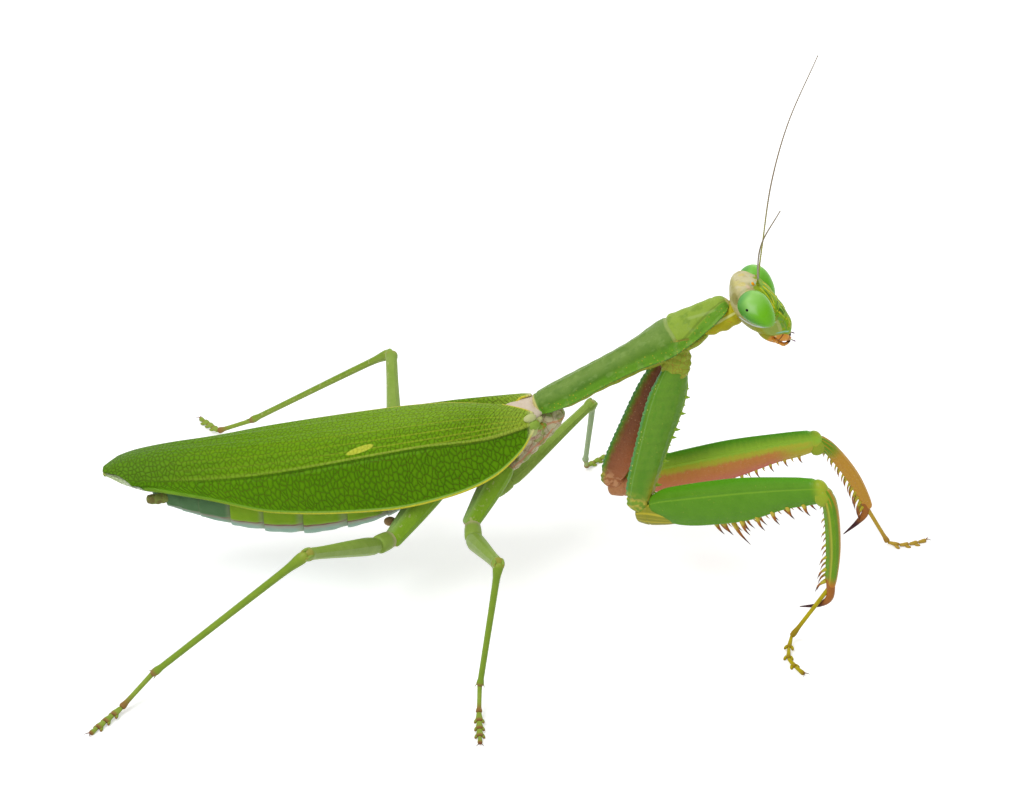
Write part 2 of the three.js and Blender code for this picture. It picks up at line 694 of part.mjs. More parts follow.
// Feet: a long heel segment and four short ones, each widest at its end, flat on the floor.
const belowFloor = solid(new THREE.BoxGeometry(300, 300, 20).translate(0, 0, -10));
for (const [pair, radius] of [["fore", 0.36], ["mid", 0.38], ["hind", 0.42]]) {
  for (const [label, side] of SIDES) {
    const name = pair + "_" + label;
    const leg = jointsOf(pair, name, side);
    const reach = FEET[name].foot.reduce((sum, [, , length]) => sum + length, 0);
    const start = FEET[name].heel[2] / (FEET[name].heel[2] + reach);
    const rows = [[0, radius * 0.8], [start * 0.85, radius * 0.8], [start, radius * 1.25]];
    for (let i = 1; i <= 4; i++) {
      const end = start + ((1 - start) * i) / 4;
      rows.push([end - 0.07, radius * 0.85], [end, radius * 1.35]);
    }
    const shape = { path: [leg.ankle, ...leg.foot], up: UP, rows: round(rows), sides: 6 };
    limb("tarsus_" + name, LEG, shape, ["tibia_" + name], belowFloor);
  }
}

// ---------------------------------------------------------------- the part's own origin

const box = new THREE.Box3().setFromObject(animal);
const middle = box.getCenter(new THREE.Vector3());
animal.position.set(-middle.x, -middle.y, -box.min.z);

const mantis = new THREE.Group();
mantis.add(animal);
export default mantis;
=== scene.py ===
import math
from functools import cached_property
import bpy
import numpy as np
from mathutils import Matrix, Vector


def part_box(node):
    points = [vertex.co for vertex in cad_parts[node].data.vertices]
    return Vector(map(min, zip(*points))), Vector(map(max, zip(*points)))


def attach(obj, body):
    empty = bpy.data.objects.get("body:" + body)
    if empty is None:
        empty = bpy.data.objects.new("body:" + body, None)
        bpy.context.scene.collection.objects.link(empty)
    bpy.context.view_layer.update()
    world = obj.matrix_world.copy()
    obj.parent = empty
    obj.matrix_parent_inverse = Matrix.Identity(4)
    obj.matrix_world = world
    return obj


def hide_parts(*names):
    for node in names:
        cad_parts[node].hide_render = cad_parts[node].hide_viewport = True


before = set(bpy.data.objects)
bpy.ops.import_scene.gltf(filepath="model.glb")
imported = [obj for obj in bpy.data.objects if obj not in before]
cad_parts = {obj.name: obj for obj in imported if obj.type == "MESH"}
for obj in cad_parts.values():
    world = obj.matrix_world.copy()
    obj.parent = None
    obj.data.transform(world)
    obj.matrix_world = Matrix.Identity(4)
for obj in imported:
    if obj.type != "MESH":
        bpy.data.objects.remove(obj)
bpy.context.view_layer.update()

# ------------------------ floor, light and camera
# A matt white board under the animal, lit by one large soft lamp over its left shoulder, a weaker
# one behind it and an even white room. The board is seen a little brighter than it is lit.

# All shapes are worked out in millimetres in the animal's own frame: X = 0 and Y = 0 lie under the
# rear end of the neck shield, and Z = 0 is the floor. ORIGIN is that point of the shared frame, in
# millimetres too, found from the last part of the abdomen, whose rear end is TAIL_BACK behind it.
MM_PER_METRE, METRES_PER_MM, TAIL_BACK = 1e3, 1e-3, 43.675
tail_low, tail_high = (MM_PER_METRE * np.array(corner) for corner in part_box("abdomen_8"))
ORIGIN = np.array([tail_low[0] + TAIL_BACK, (tail_low[1] + tail_high[1]) / 2, 0.0])


def colour(red, green, blue):
    """A colour from the 0 to 255 scale that screens use, as linear RGBA: ((c + 0.055) / 1.055)^2.4."""
    share = np.array([red, green, blue]) / 255.0
    linear = np.where(share <= 0.04045, share / 12.92, ((share + 0.055) / 1.055) ** 2.4)
    return (*(float(v) for v in linear), 1.0)


def feed(tree, socket, term):
    """Puts a link, a screen colour of three numbers or a plain value into a socket."""
    if isinstance(term, Value):
        tree.links.new(term.socket, socket)
    else:
        socket.default_value = colour(*term) if isinstance(term, tuple) and len(term) == 3 else term


def add_node(tree, kind, sockets, result=0, **settings):
    """A new shader node with its settings made and its sockets fed; gives one of its outputs."""
    made = tree.nodes.new("ShaderNode" + kind)
    for key, value in settings.items():
        setattr(made, key, value)
    for key, term in sockets.items():
        feed(tree, made.inputs[key], term)
    return Value(tree, made.outputs[result])


class Value:
    """A shader socket that Python's operators work on: each operator adds its Math node."""

    def __init__(self, tree, socket):
        self.tree, self.socket = tree, socket

    def calc(self, operation, *terms):
        return add_node(self.tree, "Math", dict(enumerate(terms or (self,))), operation=operation)

    def least(self, other):
        return self.calc("MINIMUM", self, other)

    def most(self, other):
        return self.calc("MAXIMUM", self, other)

    def step(self, low, high):
        """0 below low, 1 above high and a smooth cubic between them; low may be the larger one."""
        sockets = {"Value": self, "From Min": low, "From Max": high}
        return add_node(self.tree, "MapRange", sockets, interpolation_type="SMOOTHSTEP")

    def band(self, centre, half, soft):
        """1 within half of a centre value, and 0 past half + soft."""
        return abs(self - centre).step(half + soft, half)


OPERATORS = {"add": "ADD", "sub": "SUBTRACT", "mul": "MULTIPLY", "truediv": "DIVIDE", "pow": "POWER"}
for symbol, operation in OPERATORS.items():
    setattr(Value, "__%s__" % symbol, lambda self, other, name=operation: self.calc(name, self, other))
    setattr(Value, "__r%s__" % symbol, lambda self, other, name=operation: self.calc(name, other, self))
for method, operation in {"__abs__": "ABSOLUTE", "fraction": "FRACT"}.items():
    setattr(Value, method, lambda self, name=operation: self.calc(name))


class Finish:
    """A material on one Principled shader, painted in layers from its ground up and then worn."""

    def __init__(self, name, **constants):
        self.material = bpy.data.materials.new(name)
        self.material.use_nodes = True
        self.tree = self.material.node_tree
        self.shader = next(n for n in self.tree.nodes if n.type == "BSDF_PRINCIPLED")
        for key, value in constants.items():
            self.shader.inputs[key.replace("_", " ").title().replace("Ior", "IOR")].default_value = value

    def node(self, kind, sockets, result=0, **settings):
        return add_node(self.tree, kind, sockets, result, **settings)

    @cached_property
    def place(self):
        """Object coordinates in millimetres."""
        metres = self.node("TexCoord", {}, "Object")
        return self.node("VectorMath", {0: metres, "Scale": MM_PER_METRE}, operation="SCALE")

    def uv(self):
        """The two coordinates of the UV map: for a limb, the share along it and the share round it."""
        split = self.node("SeparateXYZ", {0: self.node("UVMap", {}, uv_map="Skin")})
        return split, Value(self.tree, split.socket.node.outputs[1])

    def mark(self, name):
        return self.node("Attribute", {}, "Fac", attribute_name=name)

    def vector(self, x, y):
        return self.node("CombineXYZ", {0: x, 1: y})

    def noise(self, scale, detail=2.0, where=None):
        """Cloudy noise from 0 to 1, with that many lumps to the millimetre."""
        return self.node("TexNoise", {"Vector": where or self.place, "Scale": scale, "Detail": detail}, "Fac")

    def cells(self, scale, where=None, feature="F1"):
        """The distance from the nearest of scattered points."""
        settings = {"feature": feature, "voronoi_dimensions": "2D" if where else "3D"}
        return self.node("TexVoronoi", {"Vector": where or self.place, "Scale": scale}, "Distance", **settings)

    def edges(self, scale, where=None):
        """The distance from the nearest edge between the cells of scattered points."""
        return self.cells(scale, where, "DISTANCE_TO_EDGE")

    def mix(self, share, first, second):
        """The first colour where share is 0, and the second where it is 1."""
        return self.node("Mix", {"Factor": share, 6: first, 7: second}, 2, data_type="RGBA")

    def ground(self, share, first, second):
        self.base = self.mix(share, first, second)

    def paint(self, share, ink):
        self.base = self.mix(share, self.base, ink)

    def wear(self, height, depth, roughness=None):
        """Links the paint, a bump of that depth in millimetres, and the roughness to the shader."""
        bump = self.node("Bump", {"Height": height, "Distance": depth * METRES_PER_MM, "Strength": 1.0}, "Normal")
        for socket, term in {"Base Color": self.base, "Normal": bump, "Roughness": roughness}.items():
            if term is not None:
                feed(self.tree, self.shader.inputs[socket], term)
        return self.material


def in_sight(tree):
    """1 for the rays that the camera sends, also by way of a mirror or through glass, and 0 for light."""
    rays = [add_node(tree, "LightPath", {}, "Is %s Ray" % kind) for kind in ("Camera", "Glossy", "Transmission")]
    return (rays[0] + rays[1] + rays[2]).least(1.0)


floor_mesh = bpy.data.meshes.new("floor")
reach = 2.5
floor_mesh.from_pydata([(-reach, -reach, 0), (reach, -reach, 0), (reach, reach, 0), (-reach, reach, 0)], [],
                       [(0, 1, 2, 3)])
floor = bpy.data.objects.new("floor", floor_mesh)
bpy.context.collection.objects.link(floor)
floor_finish = Finish("white_board", base_color=(0.86, 0.86, 0.86, 1), roughness=0.9, specular_ior_level=0.1)
glow = floor_finish.node("Emission", {"Color": (1, 1, 1, 1), "Strength": in_sight(floor_finish.tree) * 0.42})
lit_board = floor_finish.node("AddShader", {0: glow, 1: Value(floor_finish.tree, floor_finish.shader.outputs[0])})
output = next(n for n in floor_finish.tree.nodes if n.type == "OUTPUT_MATERIAL")
floor_finish.tree.links.new(lit_board.socket, output.inputs["Surface"])
floor_mesh.materials.append(floor_finish.material)

room = bpy.data.worlds.new("room")
bpy.context.scene.world = room
room.use_nodes = True
sky = next(n for n in room.node_tree.nodes if n.type == "BACKGROUND")
feed(room.node_tree, sky.inputs["Strength"], 0.55 + 0.45 * in_sight(room.node_tree))
sky.inputs["Color"].default_value = (1, 1, 1, 1)

target = (np.array([-2.0, 0.0, 22.0]) + ORIGIN) * METRES_PER_MM


def look(thing, eye, aim):
    """Places a lamp or camera at eye and turns its -Z axis towards aim, with +Y as high as it goes."""
    back = np.array(eye) - np.array(aim)
    back /= np.linalg.norm(back)
    across = np.cross([0.0, 0.0, 1.0], back)
    across /= np.linalg.norm(across)
    rows = np.array([across, np.cross(back, across), back])
    thing.matrix_world = Matrix([[*rows[:, 0], eye[0]], [*rows[:, 1], eye[1]], [*rows[:, 2], eye[2]], [0, 0, 0, 1]])
    bpy.context.collection.objects.link(thing)


LAMPS = {  # place round the animal in metres, size in metres, power in watts
    "key": ((-0.32, -0.25, 0.62), 0.42, 2.5),
    "rim": ((0.30, 0.48, 0.42), 0.40, 1.0),
}
for lamp_name, (away, size, power) in LAMPS.items():
    lamp = bpy.data.lights.new(lamp_name, "AREA")
    lamp.shape, lamp.size, lamp.energy = "DISK", size, power
    look(bpy.data.objects.new(lamp_name, lamp), target + np.array(away), target)

camera = bpy.data.cameras.new("camera")
camera.lens, camera.sensor_width = 100.6, 36.0
camera.clip_start, camera.clip_end = 0.01, 20.0
stand = (np.array([-17.32, -296.67, 194.83]) + ORIGIN) * METRES_PER_MM
camera_object = bpy.data.objects.new("camera", camera)
look(camera_object, stand, stand + np.array([0.04488, 0.86719, -0.49595]))
bpy.context.scene.camera = camera_object
bpy.context.scene.view_settings.view_transform = "Standard"

# ------------------------ neck shield
# The pronotum: one stiff saddle of green cuticle over the long prothorax, with a keel along its
# rear part, a groove across it over the fore hips, and a sharp, finely toothed margin.

SHIELD_REAR, SHIELD_LENGTH, SHIELD_RISE = np.array([0.9, 0.0, 23.7]), 26.7, 29.0
SHIELD_ROWS = [
    [0.0, 1.3, 1.4, 0.1], [0.025, 1.75, 1.8, 0.3], [0.06, 2.05, 1.9, 0.4], [0.12, 2.4, 1.9, 0.5],
    [0.2, 2.55, 1.9, 0.6], [0.38, 2.3, 2.05, 0.5],
    [0.53, 2.5, 2.35, 0.45], [0.66, 3.35, 2.7, 0.45], [0.77, 3.0, 2.7, 0.45], [0.85, 2.35, 2.4, 0.3],
    [0.92, 1.85, 2.0, 0.15], [0.97, 1.45, 1.5, 0.1], [1.0, 0.9, 0.9, 0.1],
]
UP, FORWARD = np.array([0.0, 0.0, 1.0]), np.array([1.0, 0.0, 0.0])


def heading(azimuth, elevation):
    """Unit vector of an azimuth from +X and an elevation in degrees: (cos a cos e, sin a cos e, sin e)."""
    a, e = math.radians(azimuth), math.radians(elevation)
    return np.array([math.cos(a) * math.cos(e), math.sin(a) * math.cos(e), math.sin(e)])


def unit(vector):
    """A vector, or each row of an array of them, divided by its length."""
    return vector / np.maximum(np.linalg.norm(vector, axis=-1, keepdims=True), 1e-12)


def square(direction, axis):
    """The part of a direction that is square to a unit axis, d - (d.a) a, at unit length."""
    return unit(direction - np.dot(direction, axis) * axis)


def blend(rows, t):
    """Values at t of rows [t, value, ...]: a cubic between the rows whose slope at each row is the
    slope between its neighbours, level past both ends. One column is given flat, more as columns."""
    rows, t = np.array(rows, float), np.asarray(t, float)
    knots, values = rows[:, 0], rows[:, 1:]
    pad = np.r_[0, np.arange(len(rows)), len(rows) - 1]
    slopes = (values[pad[2:]] - values[pad[:-2]]) / (knots[pad[2:]] - knots[pad[:-2]])[:, None]
    i = np.clip(np.searchsorted(knots, t, side="left") - 1, 0, len(rows) - 2)
    width = (knots[i + 1] - knots[i])[..., None]
    s = np.clip((t - knots[i])[..., None] / width, 0, 1)
    a, b, m, n = values[i], values[i + 1], slopes[i] * width, slopes[i + 1] * width
    made = a + s * (m + s * (3 * (b - a) - 2 * m - n + s * (m + n - 2 * (b - a))))
    return made[..., 0] if made.shape[-1] == 1 else made


def bell(x, centre, width):
    """exp(-((x - centre) / width)^2)."""
    return np.exp(-(((x - centre) / width) ** 2))


def rise(x, low, high):
    """Smooth step: 3s^2 - 2s^3 of the share s of the way from low to high."""
    s = np.clip((x - low) / (high - low), 0, 1)
    return s * s * (3 - 2 * s)


def curve(points, shares):
    """Points and unit tangents at shares of the length of a centripetal Catmull-Rom curve: between
    two points a Hermite cubic whose end slopes come from knots spaced by the root of the distance."""
    p = np.array(points, float)
    p = np.vstack([2 * p[0] - p[1], p, 2 * p[-1] - p[-2]])
    gap = np.sqrt(np.linalg.norm(np.diff(p, axis=0), axis=1))
    d0, d1, d2 = (gap[k : len(gap) - 2 + k, None] for k in range(3))
    p0, p1, p2, p3 = (p[k : len(p) - 3 + k] for k in range(4))
    m1 = d1 * ((p1 - p0) / d0 - (p2 - p0) / (d0 + d1) + (p2 - p1) / d1)
    m2 = d1 * ((p2 - p1) / d1 - (p3 - p1) / (d1 + d2) + (p3 - p2) / d2)
    s = np.linspace(0, 1, 60)[:, None, None]
    h = (2 * s**3 - 3 * s**2 + 1) * p1 + (s**3 - 2 * s**2 + s) * m1
    h = h + (3 * s**2 - 2 * s**3) * p2 + (s**3 - s**2) * m2
    line = np.vstack([h[:-1].transpose(1, 0, 2).reshape(-1, 3), p[-2]])
    length = np.r_[0, np.cumsum(np.linalg.norm(np.diff(line, axis=0), axis=1))]
    at = lambda t: np.stack([np.interp(t * length[-1], length, line[:, k]) for k in range(3)], -1)
    shares = np.asarray(shares, float)
    tangent = unit(at(np.minimum(shares + 0.01, 1)) - at(np.maximum(shares - 0.01, 0)))
    return at(shares), tangent, length[-1]


def loft(path, up, rows, long=80, around=48, cap=0.6, relief=None, boxy=2.0):
    """A closed limb. On each cross-section at a share t of the path stands the curve
    (w |sin a|^(2/boxy), h |cos a|^(2/boxy)), with w and h, the rise above or the drop below, from the
    rows; both ends close in a dome sqrt(1 - (1 - d/cap)^2) of the distance d from the end. relief(t, a, d)
    then moves the surface out in millimetres. Angle 0 is the upper side, 90 degrees up x tangent."""
    u = np.linspace(0, 1, long)
    t = u - 0.8 * np.sin(2 * np.pi * u) / (2 * np.pi)
    a = np.linspace(0, 2 * np.pi, around, endpoint=False)
    centre, tangent, length = curve(path, t)
    side = unit(np.cross(up, tangent))
    top = np.cross(tangent, side)
    w, above, below = blend(rows, t).T
    end = np.minimum(t, 1 - t) * length
    dome = np.sqrt(1 - np.clip(1 - end / cap, 0, 1) ** 2)[:, None]
    s, c = (np.sign(f) * np.abs(f) ** (2 / boxy) for f in (np.sin(a), np.cos(a)))
    h = np.where(c[None] > 0, above[:, None], below[:, None])
    out = unit((h * s)[..., None] * side[:, None] + (w[:, None] * c)[..., None] * top[:, None])
    grid = centre[:, None] + dome[..., None] * ((w[:, None] * s)[..., None] * side[:, None]
                                              + (h * c)[..., None] * top[:, None])
    if relief is not None:
        shift = relief(t[:, None], np.where(a > np.pi, a - 2 * np.pi, a)[None], (t * length)[:, None])
        grid = grid + (dome * shift)[..., None] * out
    turn = np.linspace(0, 1, around + 1)
    return grid, np.stack(np.broadcast_arrays(t[:, None], turn[None]), -1), {}


def skin(surface):
    """The triangles of a grid that closes on itself across its columns and in a pole at each end:
    two to a cell, without those that have no area. Gives vertices, triangles, UV corners, marks."""
    grid, uv, marks = surface
    n, m = grid.shape[:2]
    index = np.full((n, m + 1), (n - 2) * m)
    index[1:-1, :m] = np.arange((n - 2) * m).reshape(n - 2, m)
    index[1:-1, m] = index[1:-1, 0]
    index[-1] = (n - 2) * m + 1
    packed = lambda values: np.concatenate([values[1:-1].reshape((n - 2) * m, -1),
                                            values[[0, -1]].mean(1).reshape(2, -1)])
    cell = lambda v: [v[:-1, :-1], v[1:, :-1], v[1:, 1:], v[:-1, 1:]]
    corners, spots = cell(index), cell(uv)
    faces = np.concatenate([np.stack([corners[k] for k in tri], -1).reshape(-1, 3)
                            for tri in ((0, 1, 2), (0, 2, 3))])
    maps = np.concatenate([np.stack([spots[k] for k in tri], -2).reshape(-1, 3, 2)
                           for tri in ((0, 1, 2), (0, 2, 3))])
    real = (faces[:, 0] != faces[:, 1]) & (faces[:, 1] != faces[:, 2]) & (faces[:, 2] != faces[:, 0])
    faces, maps, points = faces[real], maps[real], packed(grid)
    a, b, c = (points[faces[:, k]] for k in range(3))
    if np.einsum("ij,ij->i", a, np.cross(b, c)).sum() < 0:
        faces, maps = faces[:, ::-1], maps[:, ::-1]
    return points, faces, maps, {key: packed(np.broadcast_to(value, (n, m))) for key, value in marks.items()}


def piece(name, surfaces, finish, slot, *nodes):
    """One object of several closed surfaces, with the UV map Skin and a point value for each mark."""
    parts = [skin(surface) for surface in surfaces]
    starts = np.cumsum([0] + [len(p[0]) for p in parts])
    points = np.concatenate([p[0] for p in parts])
    faces = np.concatenate([p[1] + start for p, start in zip(parts, starts)])
    mesh = bpy.data.meshes.new(name)
    mesh.vertices.add(len(points))
    mesh.vertices.foreach_set("co", ((points + ORIGIN) * METRES_PER_MM).astype(np.float32).ravel())
    mesh.loops.add(faces.size)
    mesh.loops.foreach_set("vertex_index", faces.astype(np.int32).ravel())
    mesh.polygons.add(len(faces))
    mesh.polygons.foreach_set("loop_start", np.arange(0, faces.size, 3, dtype=np.int32))
    mesh.polygons.foreach_set("use_smooth", np.ones(len(faces), bool))
    mesh.uv_layers.new(name="Skin").data.foreach_set(
        "uv", np.concatenate([p[2] for p in parts]).astype(np.float32).ravel())
    for key in sorted({key for p in parts for key in p[3]}):
        values = np.concatenate([p[3][key].ravel() if key in p[3] else np.zeros(len(p[0])) for p in parts])
        mesh.attributes.new(key, "FLOAT", "POINT").data.foreach_set("value", values.astype(np.float32))
    mesh.update(calc_edges=True)
    mesh.validate()
    mesh.materials.append(finish)
    made = bpy.data.objects.new(name, mesh)
    bpy.context.collection.objects.link(made)
    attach(made, "root")
    if nodes:
        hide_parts(*nodes)
    return made


shield_direction, shield_up = heading(0, SHIELD_RISE), heading(180, 90 - SHIELD_RISE)


def on_shield(share, lift):
    """A point of the shield's middle line: rear + share * length along it, and lift square to it."""
    return SHIELD_REAR + share * SHIELD_LENGTH * shield_direction + lift * shield_up


SHIELD_PATH = [on_shield(0, 0), on_shield(0.35, 0), on_shield(0.7, 0), on_shield(0.88, 0.45), on_shield(1, 1.2)]


def shield_relief(t, a, d):
    """Keel, groove over the hips that runs forwards down the sides, raised margin with fine teeth."""
    side = np.abs(a)
    groove = 0.71 + 0.008 * rise(side, 0.2, 0.94) + 0.05 * rise(side, 1.07, 1.35)
    keel = 0.09 * bell(a, 0, 0.07) * rise(t, 0.02, 0.1) * (1 - rise(t, 0.6, 0.66))
    hollow = -0.10 * bell(side, 0.32, 0.2) * rise(t, 0.05, 0.15) * (1 - rise(t, 0.58, 0.66))
    cut = -0.17 * bell(t, groove, 0.009) * (1 - rise(side, 1.38, 1.5))
    collar = 0.09 * bell(t, groove + 0.025, 0.016) * (1 - rise(side, 1.2, 1.4))
    margin = 0.22 * bell(side, 1.6, 0.09) * rise(t, 0.02, 0.08) * (1 - rise(t, 0.95, 1.0))
    teeth = 0.05 * bell(side, 1.6, 0.06) * (0.5 + 0.5 * np.sin(d * 14)) * rise(t, 0.25, 0.6)
    seam = -0.08 * bell(t, 0.95, 0.006) * (1 - rise(side, 1.3, 1.6)) - 0.1 * bell(t, 0.035, 0.006)
    dents = 0.03 * np.sin(2.1 * d + 3 * a) * np.sin(1.3 * d - 5 * a) * rise(t, 0.05, 0.2)
    return keel + hollow + cut + collar + margin + teeth + seam + dents


def cuticle(name, roughness=0.42, coat=0.02):
    """A finish for living cuticle: a faint soft gloss and a thin clear coat."""
    return Finish(name, roughness=roughness, coat_weight=coat, coat_roughness=0.3, specular_ior_level=0.06)


green = cuticle("shield_green")
t, around = green.uv()
side = abs(around - 0.5) * -2 + 1  # 0 along the keel, 0.5 at the margins, 1 underneath
cloud = green.noise(0.5, 3)
grain = green.cells(7.0)
green.ground(cloud.step(0.35, 0.65), (80, 122, 34), (98, 136, 44))
# Paler along the top of the shield: a painted sheen of the light from above.
green.paint(side.step(0.36, 0.12) * 0.8, green.mix(cloud, (116, 148, 66), (134, 162, 84)))
green.paint(side.band(0.46, 0.05, 0.09) * 0.85, (104, 158, 40))
line_at = 0.71 + 0.008 * side.step(0.06, 0.3) + 0.05 * side.step(0.34, 0.43)
hood = t.step(line_at, line_at + 0.012)
brim = 0.43 - (t - 0.74).most(0.0) * 0.75
green.paint(hood * 0.8, green.mix(cloud, (138, 168, 46), (168, 194, 78)))
green.paint(hood * side.step(brim - 0.02, brim + 0.03), (112, 164, 48))
green.paint(hood * side.band(brim - 0.03, 0.008, 0.02) * 0.5, (96, 120, 40))
groove = t.band(line_at, 0.004, 0.009) * side.step(0.46, 0.42)
green.paint(groove * 0.8, green.mix(side.step(0.28, 0.38), (160, 180, 100), (156, 146, 64)))
streak = (side - (t - 0.86) * 1.1).band(0.22, 0.012, 0.03) * t.band(0.88, 0.05, 0.03)
green.paint(streak * 0.3, (184, 204, 130))
dots = green.cells(2.4).step(0.2, 0.12) * side.band(0.44, 0.08, 0.06)
green.paint(dots * 0.8, (196, 176, 56))
green.paint(green.noise(0.9, 3).step(0.52, 0.66) * 0.3, (76, 118, 40))
green.paint(green.noise(1.0, 3, green.vector(t * 22.0, side * 9.0)).step(0.54, 0.66) * 0.25, (150, 180, 100))
green.paint(side.band(0.512, 0.006, 0.01), (84, 128, 62))
green.paint(green.cells(3.2).step(0.2, 0.12) * side.band(0.505, 0.02, 0.01), (204, 160, 70))
green.paint(t.step(0.992, 0.997) + t.step(0.03, 0.02), (214, 206, 130))
green.paint(side.step(0.56, 0.6), (140, 162, 64))
piece("pronotum_shell", [loft(SHIELD_PATH, shield_up, SHIELD_ROWS, 420, 160, 0.5, shield_relief)],
      green.wear(grain * 0.6 + green.noise(2.2) * 1.2, 0.05, 0.34 + 0.14 * cloud), "shield", "pronotum")

# ------------------------ underside of the prothorax and neck
# The breast plate between the fore hips is a soft keel of pale green cuticle; the neck is a folded
# yellow-olive membrane with a ridge along it.


def fold_relief(t, a, d):
    """Rings of soft folds, uneven round the limb: 0.07 sin(4.2 d + 0.8 sin 3a)."""
    return 0.07 * np.sin(4.2 * d + 0.8 * np.sin(3 * a)) + 0.05 * np.sin(1.7 * d + 2 * a)


pale = cuticle("breast_pale", 0.42, 0.1)
pale.ground(pale.noise(0.8, 3), (128, 158, 40), (176, 184, 68))
pale.paint(pale.edges(1.5).step(0.07, 0.02) * 0.6, (150, 120, 44))
pale.paint(pale.cells(2.0).step(0.2, 0.1), (200, 160, 70))
pale_finish = pale.wear(pale.noise(3.0, 3), 0.05, 0.45)
piece("prothorax_keel", [loft([on_shield(0.06, -0.6), on_shield(0.86, -0.7)], shield_up, [
    [0, 1, 0.5, 0.3], [0.1, 1.5, 0.5, 0.7], [0.5, 1.6, 0.5, 0.8], [0.75, 2.3, 0.5, 1.2], [0.92, 2, 0.5, 1],
    [1, 1.2, 0.4, 0.5]], 160, 60, 0.6, lambda t, a, d: 0.03 * np.sin(3 * d) + 0.05 * np.sin(1.1 * d + a))],
    pale_finish, "shield", "prothorax")

# Head axes: x to the animal's right, y down the face from crown to mouth, z out of the face.
HEAD_CENTRE, HEAD_LEAN, HEAD_TURN = np.array([26.8, 0.0, 38.3]), 31.0, -4.5
turn = math.radians(HEAD_TURN)
spin = np.array([[math.cos(turn), -math.sin(turn), 0], [math.sin(turn), math.cos(turn), 0], [0, 0, 1]])
head_axes = spin @ np.stack([[0.0, -1.0, 0.0], heading(0, HEAD_LEAN - 90), heading(0, HEAD_LEAN)], 1)
in_head = lambda points: points @ head_axes.T + HEAD_CENTRE
on_head = lambda x, y, z: head_axes @ np.array([x, y, z], float) + HEAD_CENTRE

neck = cuticle("neck_membrane", 0.45, 0.1)
t, around = neck.uv()
neck.ground(neck.noise(0.9, 3), (166, 160, 16), (200, 192, 44))
neck.paint(around.band(0.8, 0.008, 0.016), (214, 216, 130))
neck.paint(neck.cells(2.6).step(0.22, 0.12) * around.band(0.66, 0.06, 0.05), (196, 110, 40))
piece("neck_membrane", [loft([on_shield(0.8, -0.1), on_shield(0.92, -0.2), on_head(0, 0.3, -2.2)], shield_up,
      [[0, 1.4, 1.2, 0.9], [0.4, 1.7, 1.5, 1.5], [1, 1.5, 1.3, 1.7]], 160, 72, 0.5, fold_relief)],
      neck.wear(neck.noise(3.0, 3), 0.06, 0.45), "shield", "neck")

# ------------------------ eyes
# Two compound eyes: smooth glossy domes of thousands of facets, egg-shaped, blunt at the crown and
# slimmer towards the mouth. Each has one small dark spot, where its facets are seen end on.

EYE_APART, EYE_DOWN, EYE_OUT, EYE_LONG, EYE_DEEP, EYE_TAPER = 3.15, 0.17, 1.75, 2.69, 1.74, 0.3
EYE_LEAN = (math.cos(math.radians(13.7)), math.sin(math.radians(13.7)))
EYE_SPOT, EYE_AHEAD = (0.8, -0.54, -0.25), {1: 0.0, -1: 0.35}


def globe(long, around):
    """A unit ball on a grid of latitude b and of angle a round it: (cos b cos a, sin b, cos b sin a)."""
    b, a = np.linspace(-np.pi / 2, np.pi / 2, long)[:, None], np.linspace(0, 2 * np.pi, around, False)[None]
    b, a = np.broadcast_arrays(b, a)
    return np.stack([np.cos(b) * np.cos(a), np.sin(b), np.cos(b) * np.sin(a)], -1)


def eye_shape(side, long=150, around=180):
    """An ellipsoid on a grid of latitude b down the face and angle a round it: x = out cos b cos a,
    y = long sin b, z = deep (1 - taper sin b) cos b sin a, leant by an angle about x. The mark 'spot' is
    10 (|dy| + |dx, dz|) from the dark spot on the unit ball."""
    ball = globe(long, around)
    y, z = EYE_LONG * ball[..., 1], EYE_DEEP * (1 - EYE_TAPER * ball[..., 1]) * ball[..., 2]
    where = np.stack([EYE_OUT * ball[..., 0] + side * EYE_APART, EYE_LEAN[0] * y - EYE_LEAN[1] * z + EYE_DOWN,
                      EYE_LEAN[1] * y + EYE_LEAN[0] * z + EYE_AHEAD[side]], -1)
    off = ball - unit(np.array([side * EYE_SPOT[0], EYE_SPOT[1], EYE_SPOT[2]]))
    marks = {"spot": 10 * (np.abs(off[..., 1]) + np.hypot(off[..., 0], off[..., 2])), "down": ball[..., 1],
             "front": ball[..., 2], "out": side * ball[..., 0]}
    turn = np.linspace(0, 1, around + 1)
    uv = np.stack(np.broadcast_arrays(np.linspace(0, 1, long)[:, None], turn[None]), -1)
    return in_head(where), uv, marks


eye = Finish("eye_green", roughness=0.34, coat_weight=0.1, coat_roughness=0.2, specular_ior_level=0.08)
spot, down, front, out = map(eye.mark, ("spot", "down", "front", "out"))
facets = eye.cells(22.0)
# The eye's green, vivid yellow-green below and paler towards the crown, where the pale top is painted light from
# above.
eye.ground(down.step(-0.95, 0.1), (160, 216, 118), (114, 194, 6))
# Darker green over the back of the eye: painted shade towards its edge.
eye.paint(front.step(0.15, -0.75) * 0.8, (70, 142, 50))
# A soft pale spot high on the outer face of the eye: a painted highlight.
eye.paint((abs(down + 0.45) + abs(front - 0.05)).step(0.5, 0.05) * out.step(0.3, 0.7) * 0.45, (196, 232, 176))
eye.paint(eye.noise(0.8, 2) * 0.25, (126, 206, 60))
eye.paint(down.step(0.55, 0.95) * 0.7, (138, 184, 62))
eye.paint(front.step(0.8, 1.0) * 0.3, (160, 212, 120))
eye.paint(out.step(0.2, -0.4) * 0.5, (96, 190, 30))
# Darker green over the upper back of the eye: painted shade.
eye.paint((front + down * 0.8).step(-0.5, -1.15) * 0.6, (58, 138, 48))
# Dark blue-green along the top edge of the eye: painted shade at its rim.
eye.paint(down.step(-0.82, -0.98) * 0.5, (64, 150, 84))
eye.paint(facets * 0.15, (140, 204, 80))
eye.paint(spot.step(1.15, 0.9), (6, 14, 4))
eye_finish = eye.wear(facets, 0.008, 0.2 + 0.1 * facets)
for label, side in (("right", 1), ("left", -1)):
    piece("eye_" + label + "_dome", [eye_shape(side)], eye_finish, "eye", "eye_" + label)

